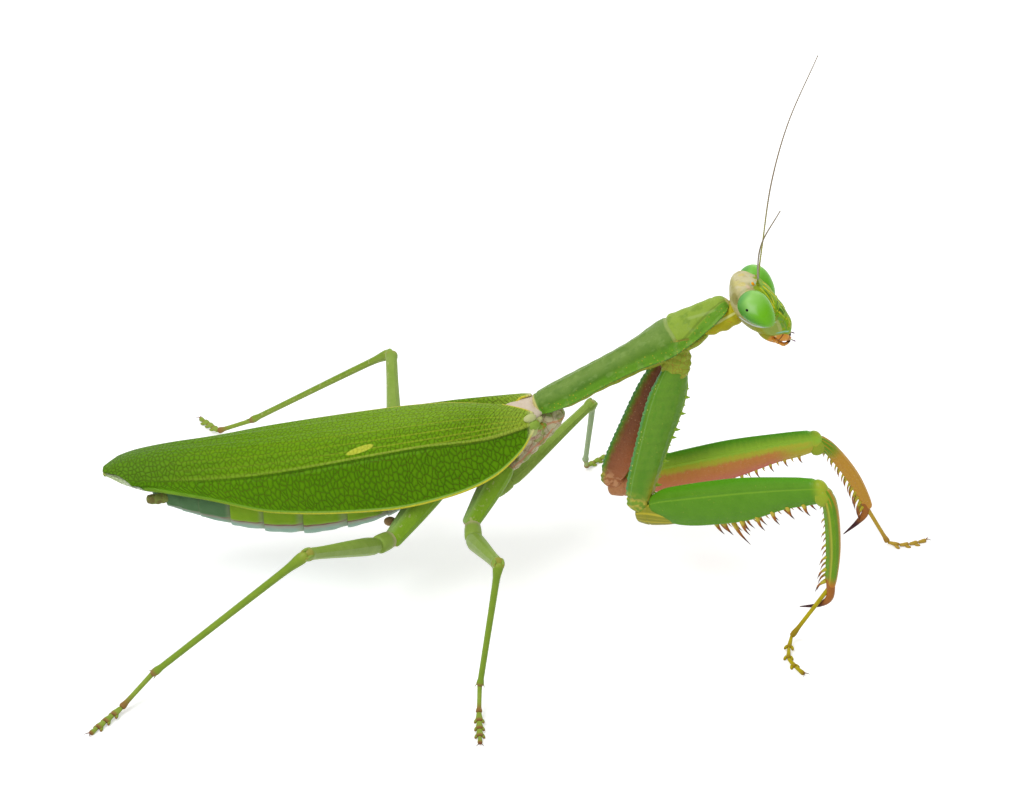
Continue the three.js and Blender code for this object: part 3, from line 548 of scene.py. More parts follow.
# ------------------------ head
# The head capsule: a hard shell, three-cornered from in front, with a beige crown behind the eyes,
# a raised pale rim round each eye, and down the face narrow green panels between yellow ridges.

HEAD_PATH = [(0, -3.4, -1.4), (0, -1.5, -0.9), (0, 1, -0.5), (0, 3.5, -0.1), (0, 5.2, 0.5), (0, 6.35, 1.0)]
HEAD_ROWS = [[0, 1.4, 0.5, 0.4], [0.06, 2.5, 1.2, 1], [0.18, 3, 2, 2], [0.35, 3, 2.4, 2.5], [0.55, 2.5, 2.4, 2.5],
             [0.72, 1.9, 2.25, 1.9], [0.88, 1.45, 1.7, 0.9], [1, 1.05, 1, 0.35]]


def normals(grid, closed=True):
    """Unit normals of a grid from the cross product of its two differences, columns wrapping round."""
    along = np.gradient(grid, axis=0)
    across = (np.roll(grid, -1, 1) - np.roll(grid, 1, 1)) if closed else np.gradient(grid, axis=1)
    return unit(np.cross(along, across))


def eye_distance(local):
    """About how far points in head axes lie outside the nearer eye: (|p / radii| - 1) * mean radius."""
    down, out = local[..., 1] - EYE_DOWN, local[..., 2] - np.where(local[..., 0] < 0, EYE_AHEAD[-1], EYE_AHEAD[1])
    y = (EYE_LEAN[0] * down + EYE_LEAN[1] * out) / EYE_LONG
    x = (np.abs(local[..., 0]) - EYE_APART) / EYE_OUT
    z = (EYE_LEAN[0] * out - EYE_LEAN[1] * down) / (EYE_DEEP * np.clip(1 - EYE_TAPER * y, 0.5, 1.5))
    return (np.sqrt(x * x + y * y + z * z) - 1) * 2.0


def head_relief(t, a, d):
    """A step where the lip joins, furrows on the crown, and a fold along each cheek."""
    face = rise(np.cos(a), 0.25, 0.6)
    seams = -0.1 * (bell(t, 0.61, 0.008) + bell(t, 0.79, 0.008)) * face
    crown = -0.08 * (bell(a, np.pi, 0.05) + bell(-a, np.pi, 0.05)) - 0.1 * bell(np.abs(a), 1.95, 0.06)
    scalp = crown * (1 - rise(t, 0.3, 0.4)) - 0.12 * bell(np.abs(a), 0.6, 0.1) * (1 - rise(t, 0.2, 0.3))
    cheek = 0.12 * bell(np.abs(a), 1.15, 0.12) * rise(t, 0.57, 0.65) * (1 - rise(t, 0.9, 0.97))
    return seams + scalp + cheek


# Colour, then lines and spots, each as points in head axes and a half-width; below the crown on both halves.
STROKES = {
    "umber": ((132, 122, 50), [[(2.4, -2.3, -1.7), (2.5, -1.9, -1.9), 0.4]]),
    "sun": ((218, 202, 96), [
        [(-0.45, -3.15, -0.3), (-0.5, -3.05, -0.2), 0.26], [(1.6, -3, -0.4), (1.6, -2.9, -0.3), 0.28]]),
    "blush": ((222, 182, 160), [
        [(1.9, -2.5, 0.2), (2, -2.4, 0.2), 0.2], [(-1.9, -2.5, 0.2), (-2, -2.4, 0.2), 0.2]]),
    "leaf": ((146, 172, 20), [
        [(1.6, -1.75, 0.75), (1.2, -1.5, 1.15), (1.6, -1.05, 1.15), 0.24],
        [(-0.2, -2.1, 0.95), (-0.8, -1.4, 1.3), 0.2]]),
    "moss": ((104, 158, 84), [
        [(1.8, 3.1, 1.3), (1.4, 3.9, 1.65), (1.5, 4.9, 1.4), 0.16], [(1.65, 4, 1.3), (1.6, 4.3, 1.3), 0.2]]),
    "sand": ((206, 206, 140), [[(1.95, 3.3, 1), (1.8, 4, 0.85), (1.65, 4.6, 0.7), 0.16]]),
    "white": ((218, 230, 224), [
        [(2.1, 0.5, -2.5), (2.3, 1.2, -2.2), (2.35, 2.15, -1.7), (2.3, 2.85, -1.05), (2.15, 3.4, -0.1),
         (2.1, 3.2, 0.7), 0.11]]),
    "lime": ((150, 198, 60), [
        [(1, -1.3, 1.3), (1.65, -0.4, 1.35), 0.06], [(0.75, 1.8, 2), (0.9, 3.4, 2), 0.1],
        [(0.3, 2.4, 2.15), (0.35, 3.2, 2.2), 0.08]]),
    "dark": ((62, 112, 8), [
        [(0.75, -0.6, 1.55), (1.2, 0.7, 1.8), 0.07], [(1.15, -0.7, 1.5), (1.55, 0.8, 1.65), 0.06],
        [(0.4, 1.5, 2), (1.3, 1.7, 1.85), (1.5, 2, 1.7), (1.65, 2.6, 1.55), 0.05],
        [(1.2, 2.4, 1.85), (1.1, 3, 1.95), 0.2], [(0.5, 2.6, 2.1), (0.55, 3.2, 2.15), 0.12],
        [(0.35, 3.75, 2.2), (1, 3.9, 2), 0.06], [(0.4, 4.9, 2.2), (0.5, 5.6, 2), 0.06],
        [(1.1, 4.5, 1.85), (1.15, 5.1, 1.75), 0.08]]),
    "olive": ((160, 168, 24), [
        [(1.75, -0.7, 1.15), (1.85, 0.3, 1.35), (1.85, 1.6, 1.5), (1.85, 2.1, 1.4), 0.12]]),
    "yellow": ((226, 222, 50), [
        [(0.5, -1, 1.5), (0.4, 0, 1.8), (0.15, 1, 2), (0.4, 1.5, 2), 0.08],
        [(0.55, -1, 1.5), (0.95, 0.2, 1.8), (1.5, 1.35, 1.8), 0.075],
        [(1.25, -1.3, 1.2), (1.45, -0.2, 1.45), (1.7, 1.6, 1.55), 0.07],
        [(1.6, 2.2, 1.65), (1.3, 3.1, 1.85), (1, 4, 1.95), 0.09], [(0.1, 1.9, 2.1), (0.1, 3.3, 2.2), 0.08],
        [(0.6, 4.2, 2.15), (0.9, 5, 2), 0.1], [(0.1, 4.4, 2.25), (0.2, 5.4, 2.1), 0.09]]),
    "brown": ((140, 100, 50), [
        [(1.8, 2.7, 1.4), (1.85, 2.8, 1.3), 0.08], [(0.55, -3.3, -0.9), (0.6, -3.05, -0.2), 0.02]]),
    "teal": ((160, 222, 196), [
        [(1.75, 4.75, 0), (1.5, 5.15, 0.95), (1.1, 5.7, 1.6), (0, 6, 1.9), 0.09],
        [(0.9, -2.1, 0.95), (0.95, -2, 0.95), 0.12]]),
}


def drawn(local, lines):
    """How strongly lines cover points in head axes: 1 nearer than w, 0 past 1.5 w + 0.04. Lines on the
    face count for both halves of it."""
    cover = np.zeros(local.shape[:-1])
    for *points, width in lines:
        points = np.array(points)
        p = local * 1.0
        if points[:, 1].mean() > -1.2:
            p[..., 0] = np.abs(p[..., 0])
        for a, b in zip(points[:-1], points[1:]):
            share = np.clip((p - a) @ (b - a) / ((b - a) @ (b - a)), 0, 1)
            gap = np.linalg.norm(p - a - share[..., None] * (b - a), axis=-1)
            cover = np.maximum(cover, 1 - rise(gap, width, 1.5 * width + 0.04))
    return cover


grid, uv, marks = loft(HEAD_PATH, UP, HEAD_ROWS, 300, 260, 0.9, head_relief, 2.25)
gap = eye_distance(grid)
strokes = {key: drawn(grid, lines) for key, (_, lines) in STROKES.items()}
lifted = 0.06 * (strokes["yellow"] + strokes["olive"] + strokes["teal"]) - 0.05 * strokes["dark"]
grid = grid + lifted[..., None] * -normals(grid)
rim_height = 0.06 + 0.09 * rise(grid[..., 1], -1, 1)
rim_lift = rim_height * bell(gap, 0.12, 0.13) * rise(np.abs(grid[..., 0]), 1.2, 1.9)
grid = grid + rim_lift[..., None] * -normals(grid)
marks = {"rim": gap, "aside": np.abs(grid[..., 0]), "down": grid[..., 1], "out": grid[..., 2], **strokes}
capsule = (in_head(grid), uv, marks)


def knob(x, y, z, rx, ry, rz, shade=0.0, detail=24):
    """A small ellipsoid in head axes, with the mark 'knob' for its colour."""
    ball = globe(detail, detail) * (rx, ry, rz) + (x, y, z)
    values = {"knob": shade, "rim": 9, "down": y, "out": z, "aside": abs(x)}
    marks = {key: np.full((detail, detail), float(value)) for key, value in values.items()}
    return in_head(ball), np.zeros((detail, detail + 1, 2)), marks


head = cuticle("head_cuticle", 0.38, 0.1)
rim, aside, down, out = map(head.mark, ("rim", "aside", "down", "out"))
t, around = head.uv()
face = out.step(0.55, 1.05) * aside.step(2.1, 1.8)
cloud = head.noise(0.9, 3)
head.ground(cloud.step(0.35, 0.65), (192, 182, 128), (212, 204, 158))
head.paint(head.noise(0.7, 2).step(0.5, 0.64) * 0.5, (206, 196, 96))
head.paint(down.step(-0.8, 1.2), (160, 158, 84))
head.paint(down.step(1.9, 3.0) * out.step(1.2, 0.4), (160, 180, 80))
head.paint(out.step(-0.9, -1.6) * down.step(-1.0, -2.2) * 0.5, (150, 150, 70))
skin_green = head.mix(head.noise(1.6, 2), (112, 166, 8), (148, 190, 22))
head.paint(face * down.step(-2.0, -1.4), skin_green)
lip = face * down.step(3.5, 3.9)
head.paint(lip * head.noise(1.3, 3, head.vector(aside * 3.0, down * 1.2)).step(0.48, 0.6), (178, 182, 36))
head.paint(out.step(-0.7, -1.3) * down.step(2.2, 3.0), (160, 162, 36))
head.paint(rim.band(0.1, 0.06, 0.1) * aside.step(1.0, 1.8) * down.step(-1.5, 1.2), (190, 210, 150))
for key, (ink, _) in STROKES.items():
    head.paint(head.mark(key) * (0.5 if key in ("umber", "sun", "blush", "sand", "moss") else 0.9), ink)
knob_mark = head.mark("knob")
head.paint(knob_mark.step(0.1, 0.4), (142, 160, 30))
head.paint(knob_mark.step(1.1, 1.4), (176, 204, 170))
head.paint(knob_mark.step(2.1, 2.4), (246, 164, 10))
KNOBS = [  # place and half-sizes in head axes, then colour: 1 yellow-green, 2 pale, 3 amber
    (1.3, -2.28, 0.58, 0.34, 0.3, 0.18, 2), (-0.3, -2.38, 0.55, 0.26, 0.26, 0.14, 2),
    (1.4, -2.32, 0.72, 0.22, 0.22, 0.24, 3), (-0.3, -2.42, 0.62, 0.14, 0.14, 0.12, 3),
    (0.95, -1.75, 1.15, 0.3, 0.3, 0.26, 1), (-0.95, -1.75, 1.15, 0.3, 0.3, 0.26, 1),
]
piece("head_capsule", [capsule, *(knob(*row) for row in KNOBS)],
      head.wear(head.noise(2.5, 3) * 1.2 + head.cells(6.0) * 0.5, 0.05, 0.34 + 0.1 * cloud),
      "head", "head")

# ------------------------ mouthparts
# Under the lip: two stout toothed jaws, the paired outer jaws and the lower lip with their jointed
# feelers, amber to brown, dark at the biting edges.

jaw = cuticle("jaw_amber", 0.3, 0.35)
t, around = jaw.uv()
dark = jaw.mark("tip")
jaw.ground(jaw.noise(1.6, 3), (212, 116, 12), (248, 190, 84))
jaw.paint((t * 3.0).fraction().band(0.95, 0.05, 0.06) * 0.8, (104, 50, 12))
jaw.paint(jaw.noise(1.9, 2).step(0.6, 0.68) * 0.8, (246, 214, 160))
jaw.paint((dark * t).step(0.74, 0.9), (54, 30, 14))
jaw.paint(t.step(0.55, 0.4) * dark.step(0.5, 0.0), (164, 162, 36))
jaw.paint(dark.step(1.2, 1.6), jaw.mix(t.step(0.5, 0.8), (196, 200, 140), (150, 124, 150)))


def even(rows, flat=1.0, scale=1.0):
    """Rows of a limb that is round: [t, radius] becomes [t, radius * flat, radius, radius]."""
    return [[t, r * flat * scale, r * scale, r * scale] for t, r in rows]


def head_limb(points, rows, tip=1.0, long=40, around=16, cap=0.2):
    """A loft in head axes, with 'tip' as its mark."""
    grid, uv, _ = loft(points, UP, rows, long, around, cap)
    return in_head(grid), uv, {"tip": np.full(grid.shape[:2], tip)}


FEELER_ROWS = [[0, 0.9], [0.3, 1], [0.34, 0.7], [0.62, 1], [0.66, 0.7], [1, 0.6]]  # three segments with waists
mouth = [head_limb([(0, 3.4, -1.7), (0, 5.2, -1.1), (0, 6.8, -0.1)],
                   [[0, 0.9, 0.5, 0.4], [0.3, 1.3, 0.9, 0.7], [0.7, 1, 0.8, 0.6], [1, 0.4, 0.3, 0.3]],
                   0.0, 60, 40, 0.3)]
for side in (1, -1):
    mouth.append(head_limb([(side * 1.1, 4.8, -0.1), (side * 1.15, 5.7, 0.35),
                            (side * 0.8, 6.4, 0.75), (side * 0.2, 6.85, 0.9)],
                           [[0, 0.3, 0.5, 0.5], [0.4, 0.36, 0.6, 0.6], [0.8, 0.26, 0.34, 0.34],
                            [1, 0.1, 0.12, 0.12]]))
    for inset, radius in ((0.0, 0.19), (0.42, 0.16)):
        mouth.append(head_limb([(side * (1.15 - inset), 5.4, -0.75 - inset / 2),
                                (side * (1.3 - inset), 6.25, -0.35 - inset / 2),
                                (side * (1.05 - inset), 6.9, 0.15), (side * (0.7 - inset / 2), 6.85, 0.85)],
                               even(FEELER_ROWS, 1.0, radius), 1.0, 48, 12, 0.12))
    mouth.append(head_limb([(side * 0.8, 6.1, 0.6), (side * 0.95, 6.7, 1.05), (side * 1.0, 7.15, 1.4)],
                           even([[0, 0.12], [0.5, 0.1], [0.55, 0.07], [1, 0.09]]), 2.0))
piece("mouthparts_set", mouth, jaw.wear(jaw.noise(4.0, 3), 0.03, 0.32), "mouth", "mouthparts")

# ------------------------ antennae
# A thick ringed base in a socket between the eyes, then a whip of some hundred short segments that
# is thinner than a bristle and swept back or up.

FEELERS = {
    "right": [(0.95, -1.8, 1.2), (26.4, -3, 43.6), (25.5, -11, 50.7), (25.4, -24, 61.2)],
    "left": [(-0.7, -1.7, 1.2), (27.7, 3, 43.6), (29.5, 10, 48.4), (32.1, 16, 53.4), (36.1, 21.2, 59.8)],
}
WHIP_ROWS = [[0, 0.17], [0.015, 0.18], [0.025, 0.11], [0.04, 0.12], [0.06, 0.09], [0.4, 0.085], [1, 0.05]]

whip = Finish("antenna_brown", roughness=0.5, specular_ior_level=0.4)
t, around = whip.uv()
whip.ground((t * 110.0).fraction() * 0.5, (112, 92, 52), (150, 132, 96))
whip.paint(t.step(0.4, 0.1) * 0.9, whip.mix(whip.mark("pale"), (150, 152, 50), (172, 160, 158)))
whip.paint(t.step(0.045, 0.03), (136, 152, 30))
whip_finish = whip.wear(whip.noise(6.0), 0.02)
for label, (root, *passes) in FEELERS.items():
    rings = lambda t, a, d: 0.012 * np.sin(t * 110 * 2 * np.pi) * rise(t, 0.06, 0.08)
    surface = loft([on_head(*root), *passes], FORWARD, even(WHIP_ROWS), 700, 8, 0.1, rings)
    surface[2]["pale"] = np.full(surface[0].shape[:2], float(label == "right"))
    piece("antenna_" + label + "_whip", [surface], whip_finish, "antenna", "antenna_" + label)

# ------------------------ thorax
# Middle and rear thorax: side plates of stiffer cuticle in soft pinkish membrane, folded where the
# legs and wings are hung.

flesh = cuticle("thorax_flesh", 0.45, 0.1)
t, around = flesh.uv()
flesh.ground(flesh.noise(0.6, 3), (192, 180, 136), (214, 208, 176))
flesh.paint(flesh.noise(0.45, 2).step(0.5, 0.62) * 0.8, (206, 158, 142))
flesh.paint(flesh.noise(0.8, 1).step(0.55, 0.6) * 0.8, (150, 170, 90))
flesh.paint(flesh.edges(0.8).step(0.05, 0.01) * 0.6, (150, 104, 60))
flesh.paint(around.band(0.25, 0.008, 0.02) * 0.6, (210, 128, 92))
flesh_finish = flesh.wear(flesh.cells(0.9) * 1.5 + flesh.noise(3.0, 3) * 0.4, 0.16, 0.45)


def plate_relief(t, a, d):
    """Side plates with grooves between them: soft steps of sin(2.3 d + 2 cos a) and of 5 a."""
    rolls = 0.16 * np.tanh(3 * np.sin(2.3 * d + 2 * np.cos(a))) * rise(np.abs(a), 0.6, 1.2)
    return rolls + 0.08 * np.sin(5 * a + d)


piece("mesothorax_plates", [loft([[4.4, 0, 23.2], [0, 0, 21.9], [-7.0, 0, 19.2]], UP, [
    [0, 0.9, 0.6, 0.6], [0.12, 1.6, 1.2, 1.4], [0.4, 2.5, 2, 3.1], [0.75, 3.0, 2.3, 3.9], [1, 2.8, 2.4, 3.4]],
    160, 120, 0.6, plate_relief)], flesh_finish, "thorax", "mesothorax")
piece("mesothorax_fold", [loft([[3.6, -0.3, 22.6], [1.9, -0.4, 20.9], [0.0, -0.4, 18.9],
                                [-1.6, -0.3, 17.0], [-3.6, 0, 15.0]], UP, [
    [0, 0.8, 0.6, 0.5], [0.2, 1.4, 1.0, 0.8], [0.5, 1.7, 1.2, 0.9], [0.8, 1.7, 1.2, 0.8], [1, 1.2, 0.8, 0.5]],
    120, 60, 0.6, fold_relief)], flesh_finish, "thorax", "mesothorax")
piece("metathorax_plates", [loft([[-6.2, 0, 19.4], [-10, 0, 18], [-14.6, 0, 16.4]], UP, [
    [0, 2.7, 2.4, 3.2], [0.3, 3, 2.8, 3.9], [0.8, 3.1, 3, 3.7], [1, 2.9, 2.6, 3.3]],
    160, 120, 0.6, plate_relief)], flesh_finish, "thorax", "metathorax")

# ------------------------ abdomen
# Eight telescoping rings: above, a plate whose edge hangs down the flank as a yellow-green flap;
# below, a pale blue-green plate; between them a fold of brown and pink membrane.

BODY_LINE, BODY_FRONT, BODY_REAR = 14.0, -14.3, -43.8
ABDOMEN = [[0, 3.2, 5, 2.6], [0.15, 4.4, 4.6, 4.7], [0.42, 4.8, 4.1, 6.2], [0.65, 4.5, 3, 5.4],
           [0.85, 3.4, 1.9, 3.6], [1, 2, 1, 2]]
FLAP_EDGE = 2.08  # angle from the top of the back to the edge of the upper plate


def ring_relief(t, a, d):
    """The flap stands proud of the lower plate by a step at its edge, with a groove just under it."""
    side = np.abs(a)
    flap = 0.11 * (1 - rise(side, FLAP_EDGE - 0.02, FLAP_EDGE + 0.04)) * rise(t, 0.15, 0.3)
    fold = -0.13 * bell(side, FLAP_EDGE + 0.09, 0.05)
    keel = 0.12 * bell(a, 0, 0.06) + 0.05 * bell(side, 2.0, 0.05)
    return flap + fold + keel + 0.02 * np.sin(3 * d + 7 * a)


def belly_finish(name, upper, upper_dark, lower):
    """Upper plate, brown fold, lower plate, and a thin dark line along each ring's rear edge."""
    belly = cuticle(name, 0.42, 0.15)
    t, around = belly.uv()
    angle = abs(around - 0.5) * -2 + 1
    edge = FLAP_EDGE / math.pi
    cloud = belly.noise(0.8, 3)
    belly.ground(cloud, upper, upper_dark)
    belly.paint(angle.step(edge + 0.012, edge + 0.022), lower)
    belly.paint(angle.band(edge + 0.02, 0.01, 0.012), (110, 66, 34))
    belly.paint(angle.band(edge + 0.045, 0.008, 0.02) * 0.3, (206, 170, 160))
    belly.paint(t.band(0.985, 0.004, 0.006) * 0.7, (96, 110, 40))
    belly.paint(t.step(0.34, 0.2) * 0.5, (150, 160, 120))
    return belly.wear(belly.noise(2.5, 3) + belly.cells(5.0) * 0.4, 0.05, 0.4 + 0.1 * cloud)


flank_green = belly_finish("flank_yellow_green", (112, 160, 12), (140, 172, 26), (146, 182, 162))
tail_grey = belly_finish("tail_blue_green", (70, 110, 66), (90, 126, 82), (120, 160, 136))
front_pale = belly_finish("front_pale", (140, 170, 140), (176, 190, 164), (156, 186, 170))
RINGS = (0, 0.1, 0.265, 0.445, 0.605, 0.74, 0.865, 0.94, 1)  # where the rings join, as shares of the length
body_x = lambda share: BODY_FRONT + share * (BODY_REAR - BODY_FRONT)
for i in range(8):
    front, rear = RINGS[i], RINGS[i + 1]
    tuck = 0.9 / (BODY_FRONT - BODY_REAR) if i else 0.03
    swell = [[0, 0.93], [0.25, 0.965], [0.4, 0.985], [0.9, 1.005], [1, 0.995]]
    rows = [[s, *(k * blend(ABDOMEN, front - tuck + s * (rear - front + tuck)))] for s, k in swell]
    path = [[body_x(front - tuck), 0, BODY_LINE], [body_x(rear), 0, BODY_LINE]]
    piece("abdomen_ring_%d" % (i + 1), [loft(path, UP, rows, 58, 200, 0.12, ring_relief)],
          flank_green if 0 < i < 5 else tail_grey if i else front_pale, "abdomen", "abdomen_%d" % (i + 1))
piece("anal_plate_shell", [loft([[-43.4, 0, 14.0], [-45.5, 0, 13.6]], UP, [
    [0, 1.7, 1.1, 1.3], [0.6, 1.3, 0.7, 0.9], [1, 0.7, 0.3, 0.4]], 60, 60, 0.5)],
      tail_grey, "abdomen", "anal_plate")
cercus = cuticle("cercus_olive")
cercus.ground(cercus.noise(1.2, 2).step(0.45, 0.6), (130, 144, 70), (118, 112, 62))
cercus_finish = cercus.wear(cercus.noise(3.0, 2), 0.05, 0.4)
for label, side in (("right", -1), ("left", 1)):
    beads = lambda t, a, d: 0.025 * np.cos(t * 4 * 2 * np.pi)
    piece("cercus_%s_beads" % label, [loft([[-43.4, side * 1.7, 13.9], [-44.8, side * 2, 13.8],
                                            [-46.1, side * 2, 13.8]], UP,
          even([[0, 0.65], [0.5, 0.66], [1, 0.56]], 0.9), 70, 28, 0.35, beads)],
          cercus_finish, "abdomen", "cercus_" + label)

# ------------------------ fore wings
# Two leathery tegmina, the right one lying over the left: a stiff main vein, the costal field that
# hangs down the flank below it, and above it a thin field of long veins joined by a fine net.

WING_HINGE, WING_LENGTH, COSTAL, WING_SINK = 0.5, 51.7, 0.35, 1.2
RIDGE = [[0, 25], [0.2, 23.6], [0.4, 22.15], [0.6, 20.75], [0.76, 19.7], [0.9, 18.75], [0.96, 18.05], [1, 17.1]]
VEIN = [[0, 3.2], [0.03, 3.7], [0.1, 4.5], [0.2, 5.2], [0.35, 5.5], [0.6, 5.1], [0.76, 4.1], [0.9, 3.0], [1, 1.9]]
DROP = [[0, 1.3], [0.1, 1.7], [0.35, 2.1], [0.6, 2.8], [0.76, 3.0], [0.9, 2.5], [1, 2.0]]
HANG = [[0, 0.8], [0.03, 2.8], [0.1, 4.9], [0.2, 6], [0.34, 6.3], [0.6, 4.15], [0.76, 1.6], [0.9, 0.5], [1, 0.25]]
FLARE = [[0, 0.6], [0.1, 1.4], [0.35, 1.2], [0.6, 0.9], [0.9, 0.3], [1, 0.1]]
INNER = [[0, -2.2], [0.03, -1.3], [0.1, 0.9], [0.2, 2.8], [0.34, 3.7], [0.6, 3.7], [0.76, 3.1],
         [0.92, 2.4], [1, 1.4]]
STIGMA = (21.0, 1.75)  # centre of the right wing's pale spot: along it, and across it from the main vein
# Long veins of the upper field: share of the way from main vein to inner edge, at the hinge and at the tip.
LONG_VEINS = [(0.03, 0.12), (0.07, 0.22), (0.12, 0.33), (0.18, 0.44), (0.26, 0.55), (0.35, 0.67),
              (0.46, 0.8), (0.6, 0.92)]


def fore_wing(along, t, side):
    """The wing's middle surface, along it from the hinge and t across it from the outer edge. Both
    edges end sooner than the tip: q = along - trim along^6. Below the main vein, t < COSTAL, it hangs
    with a slight bulge; above it y runs evenly from the vein to the inner edge,
    z = ridge - drop |y / vein|^3, and the left wing dips under the right."""
    q = along - (0.1 * (1 - rise(t, 0.2, 0.6)) + 0.03 * rise(t, 0.75, 1)) * along**6
    vein, drop, ridge, hang, flare = (blend(rows, q) for rows in (VEIN, DROP, RIDGE, HANG, FLARE))
    inner = blend(INNER, q) * (0.6 if side > 0 else 1.0)
    s = np.minimum(t / COSTAL, 1)
    out = vein + flare * (1 - s) ** 2 + 0.35 * np.sin(np.pi * s) * np.sin(np.pi * q)
    y = -vein + (t - COSTAL) / (1 - COSTAL) * (vein + inner)
    bend = drop * np.abs(y / vein) ** 3
    if side < 0:
        bend = np.where(y > 0, 0.15 * drop * (y / inner) ** 2, bend)
    under = WING_SINK * rise(y, -inner - 2, -inner - 0.3) if side > 0 else 0.0
    low = t < COSTAL
    return np.stack([WING_HINGE - q * WING_LENGTH + 0 * t, side * np.where(low, out, -y),
                     np.where(low, ridge - drop - hang * (1 - s), ridge - bend - under)], -1)


def sheet(point, side, long, wide, thickness, relief=None):
    """A closed leaf: the surface point(q, t) with its upper face raised and its lower face lowered by
    half a thickness that falls to nothing at the edges as sqrt(1 - e^2). Its UV is in millimetres, along
    the leaf and across it from the main vein; relief(q, t, v, across) is a height on the upper face, where
    across is the distance from the outer edge."""
    q = (1 - np.cos(np.pi * np.linspace(0, 1, long)))[:, None] / 2
    t = np.linspace(0, 1, wide)[None]
    q, t = np.broadcast_arrays(q, t)
    grid = point(q, t, side)
    up = normals(grid, closed=False)
    up = up * np.sign(up[..., 2].mean())
    across = np.r_["1", np.zeros((long, 1)), np.cumsum(np.linalg.norm(np.diff(grid, axis=1), axis=-1), 1)]
    along = np.r_["0", np.zeros((1, wide)), np.cumsum(np.linalg.norm(np.diff(grid, axis=0), axis=-1), 0)]
    zero = int(round(COSTAL * (wide - 1)))
    v = across - across[:, zero : zero + 1]
    edge = np.minimum.reduce([across, across[:, -1:] - across, along, along[-1:] - along])
    half = 0.5 * thickness * np.sqrt(1 - np.clip(1 - edge / (0.8 * thickness), 0, 1) ** 2)
    lift = half if relief is None else half + relief(q, t, v, across)
    ring = np.concatenate([grid + lift[..., None] * up, (grid - half[..., None] * up)[:, ::-1]], 1)
    uv = np.stack([along, v], -1)
    uv = np.concatenate([uv, uv[:, ::-1], uv[:, :1]], 1)
    both = lambda values: np.concatenate([values, values[:, ::-1]], 1)
    return ring, uv, {"q": both(q), "t": both(t), "edge": both(across), "inner": both(across[:, -1:] - across),
                      "face": np.concatenate([np.ones_like(q), np.zeros_like(q)], 1)}


def vein_share(k, q):
    """Where long vein k runs: its share of the upper field goes from start at the hinge to end at the
    tip as start + (end - start) (1 - exp(-4 q)) / (1 - exp(-4)), so that it bends away early."""
    start, end = LONG_VEINS[k]
    return COSTAL + (1 - COSTAL) * (start + (end - start) * (1 - np.exp(-4.0 * q)) / (1 - math.exp(-4.0)))


def vein_height(q, t, v, across):
    """Ridges of exp(-(distance / width)^2) on the main vein and the long veins, a raised rim, and
    soft pleats 0.05 sin(2.6 v + 0.6) on the rear part of the upper field."""
    width = across[:, -1:] + 1e-6
    above = 0.8 * rise(q, 0.08, 0.3)
    main = 0.14 * bell(v, above, 0.15) * (1 - 0.6 * rise(q, 0.5, 0.9))
    main = main + 0.06 * bell(v, above + 0.5, 0.12) * (1 - rise(q, 0.5, 0.8))
    groove = -0.08 * bell(v, above - 0.5, 0.2) * rise(q, 0.1, 0.3)
    fine = sum(0.05 * bell((t - vein_share(k, q)) * width, 0, 0.13) for k in range(len(LONG_VEINS)))
    fine = fine + 0.05 * np.sin(2.6 * v + 0.6) * rise(v, 1.2, 2.5) * rise(q, 0.35, 0.6)
    rim = 0.07 * bell(across, 0.22, 0.16)
    return (main + groove + fine * (1 - rise(q, 0.75, 0.98)) + rim) * rise(q, 0.0, 0.02)


